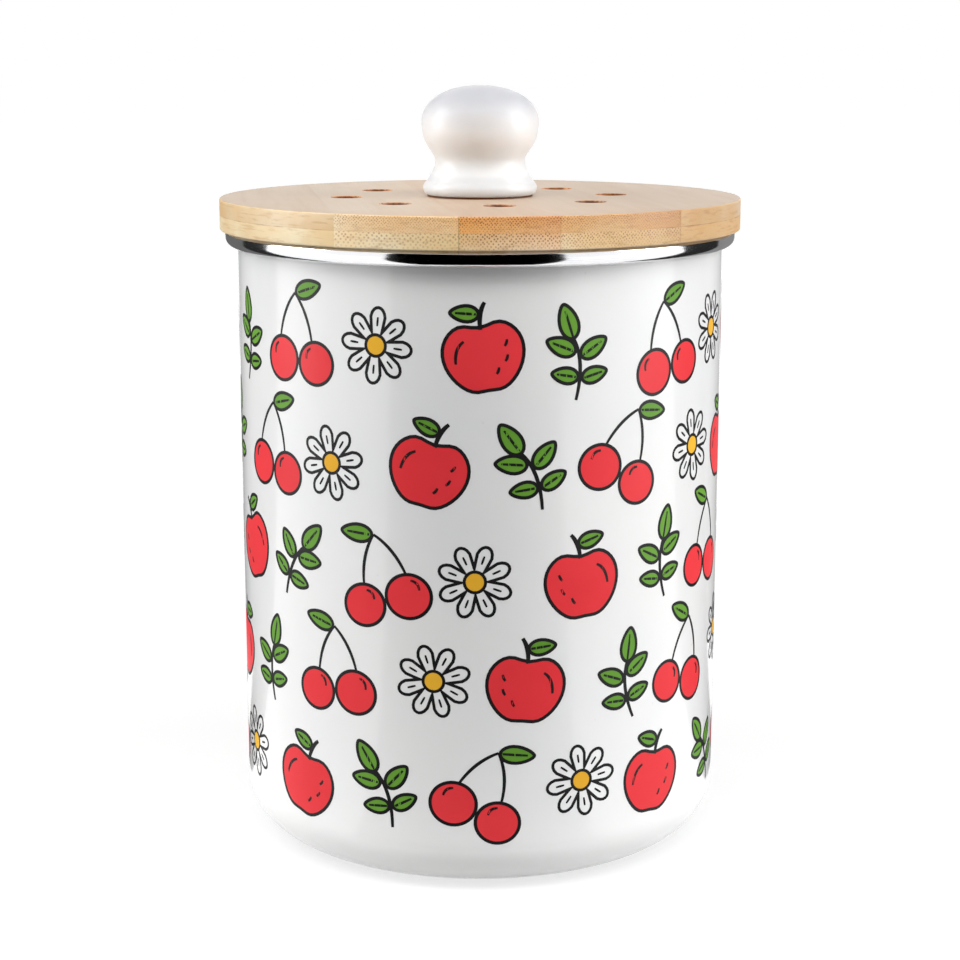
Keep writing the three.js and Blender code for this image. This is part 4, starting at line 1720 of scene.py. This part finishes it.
    def _bar(self, low: float) -> BMesh:
        """The finger bar under the floor, deepest in the middle, with softened edges.

        Args:
            low: The level of the floor's underside.

        Returns:
            Its mesh.
        """
        half, drop, root = self.pull_length / 2, self.pull_drop, self.floor_thickness / 2
        left = interpolate_bezier(Vector((-half, 0, 0)), Vector((-half / 2, 0, 0)), Vector((-half / 2, 0, -drop)),
                                  Vector((0, 0, -drop)), 15)
        right = [Vector((-point.x, 0, point.z)) for point in reversed(left[:-1])]
        bm = bmesh.new()
        face = bm.faces.new([bm.verts.new(point) for point in (*left, *right, (half, 0, root), (-half, 0, root))])
        made = bmesh.ops.extrude_face_region(bm, geom=[face], use_keep_orig=True)["geom"]
        bmesh.ops.translate(bm, vec=(0, self.pull_thickness, 0), verts=picked(made, BMVert))
        bmesh.ops.translate(bm, vec=(0, -self.pull_thickness / 2, low), verts=bm.verts)
        bmesh.ops.recalc_face_normals(bm, faces=bm.faces)
        rim = [edge for edge in bm.edges if len(edge.link_faces) == 2 and edge.calc_face_angle() > 1.2 and
               max(v.co.z for v in edge.verts) < low + 0.01 and abs(edge.verts[0].co.y - edge.verts[1].co.y) < 0.01]
        bmesh.ops.bevel(bm, geom=rim, offset=self.pull_round, offset_type="OFFSET", segments=3, profile=0.5,
                        affect="EDGES", material=-1)
        return bm

    def _pad(self) -> BMesh:
        """The foam disc, a little crowned, with soft edges and an uneven face.

        Returns:
            Its mesh.
        """
        low, top = self.floor, top_of("filter_pad")
        bm = turned([
            (0.0, low),
            *[(r, low) for r in self.pad_steps],
            (self.pad_radius, low, 1.6, 4),
            (self.pad_radius, top, 1.8, 4),
            *[(r, top - 0.05 - 0.35 * (r / 58) ** 2) for r in reversed(self.pad_steps)],
            (0.0, top - 0.05),
        ], 144, closed=False)
        for vert in bm.verts:
            if vert.co.z > (low + top) / 2:
                vert.co.z -= 0.25 * (0.5 + 0.5 * noise.noise(vert.co * 0.12))
        return bm


# Studio


@dataclass(frozen=True)
class Softbox:
    """A rectangular soft light that faces the caddy's middle."""

    name: str
    azimuth: float
    elevation: float
    distance: float
    width: float
    height: float
    radiance: float
    mirrored: bool = True
    target: tuple[float, float, float] = (0.0, 0.0, 0.12)

    def build(self) -> None:
        """Adds the light. Azimuth 0 is the camera's side and turns to the right of the picture."""
        light = bpy.data.lights.new(self.name, "AREA")
        light.shape = "RECTANGLE"
        light.size, light.size_y = self.width, self.height
        light.energy = self.radiance * math.pi * self.width * self.height
        azimuth, elevation = math.radians(self.azimuth), math.radians(self.elevation)
        flat = math.cos(elevation)
        way = Vector((math.sin(azimuth) * flat, -math.cos(azimuth) * flat, math.sin(elevation)))
        obj = linked(self.name, light)
        obj.location = Vector(self.target) + way * self.distance
        obj.rotation_euler = way.to_track_quat("Z", "Y").to_euler()
        obj.visible_glossy = self.mirrored


@dataclass(frozen=True)
class Flag:
    """A card that only reflections see: a wall and an apron round a stretch of the set."""

    name: str
    start: float
    end: float
    shade: float
    inner: float = 0.1
    radius: float = 2.2
    height: float = 1.6
    hover: float = 0.0008

    def build(self) -> None:
        """Adds the card, whose apron starts at its inner radius."""
        material, tree = new_material(self.name)
        tree.add("OutputMaterial", tree.add("Emission", gray(self.shade)).outputs[0])
        bm = bmesh.new()
        outline = ((self.inner, self.hover), (self.radius, self.hover), (self.radius, self.height))
        corners = [bm.verts.new((reach / MM, 0, up / MM)) for reach, up in outline]
        edges = [bm.edges.new(pair) for pair in zip(corners, corners[1:])]
        start, end = math.radians(self.start - 90), math.radians(self.end - 90)
        bmesh.ops.rotate(bm, cent=(0, 0, 0), matrix=Matrix.Rotation(start, 3, "Z"), verts=corners)
        bmesh.ops.spin(bm, geom=corners + edges, cent=(0, 0, 0), axis=(0, 0, 1), angle=end - start, steps=24)
        obj = add_object(self.name, bm, [material])
        obj.visible_camera = obj.visible_diffuse = obj.visible_shadow = obj.visible_transmission = False


@dataclass
class Studio:
    """The pale floor, the white surround, the lights, the flags and the camera."""

    softboxes: tuple[Softbox, ...] = (
        Softbox("side_left", -88, 15, 1.15, 0.56, 1.4, 5.4),
        Softbox("fill_left", -58, 15, 1.15, 0.66, 1.4, 0.95, mirrored=False),
        Softbox("rim_left", -128, 15, 1.15, 0.5, 1.4, 3.2, mirrored=False),
        Softbox("side_right", 80, 15, 1.15, 0.56, 1.4, 6.5),
        Softbox("fill_right", 51, 15, 1.15, 0.62, 1.4, 0.5, mirrored=False),
        Softbox("rim_right", 128, 15, 1.15, 0.5, 1.4, 2.3, mirrored=False),
        Softbox("overhead", 0, 63, 1.2, 1.3, 0.3, 9.6, mirrored=False),
        Softbox("overhead_low", 0, 48, 1.2, 1.3, 0.3, 1.8, mirrored=False),
    )
    flags: tuple[Flag, ...] = (
        Flag("flag_front", -40, 36, 0.0),
        Flag("flag_left", -128, -106, 0.02),
        Flag("flag_right", 99, 130, 0.02),
        Flag("flag_back_left", -162, -128, 0.14, 0.25),
        Flag("flag_back_right", 130, 162, 0.25, 0.25),
    )
    floor_size: float = 12.0
    floor_shade: float = 0.22
    floor_glow: float = 0.74
    floor_bounce: Point = (0.46, 0.12)
    camera_place: tuple[float, float, float] = (0.0, -0.7002, 0.2629)
    camera_target: tuple[float, float, float] = (0.0, 0.0, 0.1172)
    lens: float = 78.56
    sensor: float = 36.0

    def build(self) -> None:
        """Builds the whole set."""
        self._world()
        self._floor()
        for piece in (*self.softboxes, *self.flags):
            piece.build()
        self._camera()

    def _seen(self, tree: Tree) -> NodeSocket:
        """1 for camera, glossy and transmission rays, 0 for the others."""
        rays = [tree.add("LightPath").outputs[f"Is {kind} Ray"] for kind in ("Camera", "Glossy", "Transmission")]
        return tree.math("MAXIMUM", tree.math("MAXIMUM", *rays[:2]), rays[2])

    def _world(self) -> None:
        """A surround that is white to the eye and gives no light."""
        world = bpy.data.worlds.new("studio")
        bpy.context.scene.world = world
        world.use_nodes = True
        tree = Tree(world.node_tree)
        tree.add("OutputWorld", tree.add("Background", gray(1.0), self._seen(tree)).outputs[0])

    def _floor(self) -> None:
        """A pale floor that keeps a soft shadow under the caddy, and is clear from below."""
        material, tree = new_material("pale_floor")
        seen = self._seen(tree)
        reach = tree.vector("LENGTH", tree.add("TexCoord").outputs["Object"]).outputs["Value"]
        bounce = tree.mix(tree.fade(reach, 0.11, 0.24), *map(gray, self.floor_bounce))
        lit = tree.add("BsdfDiffuse", tree.mix(seen, bounce, gray(self.floor_shade)))
        strength = tree.product(seen, tree.fade(reach, 0.25, 1.6, self.floor_glow, 1.0))
        both = tree.add("AddShader", lit.outputs[0], tree.add("Emission", gray(1.0), strength).outputs[0])
        clear = tree.add("MixShader", tree.add("NewGeometry").outputs["Backfacing"], both.outputs[0],
                         tree.add("BsdfTransparent").outputs[0])
        tree.add("OutputMaterial", clear.outputs[0])
        bm = bmesh.new()
        bmesh.ops.create_grid(bm, x_segments=1, y_segments=1, size=self.floor_size / MM)
        add_object("floor", bm, [material])

    def _camera(self) -> None:
        """The camera, where the photograph was taken from."""
        data = bpy.data.cameras.new("camera")
        data.lens, data.sensor_width = self.lens, self.sensor
        data.clip_start, data.clip_end = 0.01, 60.0
        camera = linked("camera", data)
        camera.location = Vector(self.camera_place)
        way = Vector(self.camera_place) - Vector(self.camera_target)
        camera.rotation_euler = way.to_track_quat("Z", "Y").to_euler()
        bpy.context.scene.camera = camera


def main() -> None:
    """Builds the caddy and its studio, piece by piece."""
    bpy.context.scene.view_settings.view_transform = "Standard"
    boards = LidBoards()
    finishes = Finishes(SharedEffects(), boards)
    Canister().build(finishes)
    BodyPrint().build(finishes)
    boards.build(finishes)
    KnobSet().build(finishes)
    FilterSet().build(finishes)
    Studio().build()


if __name__ == "__main__":
    main()
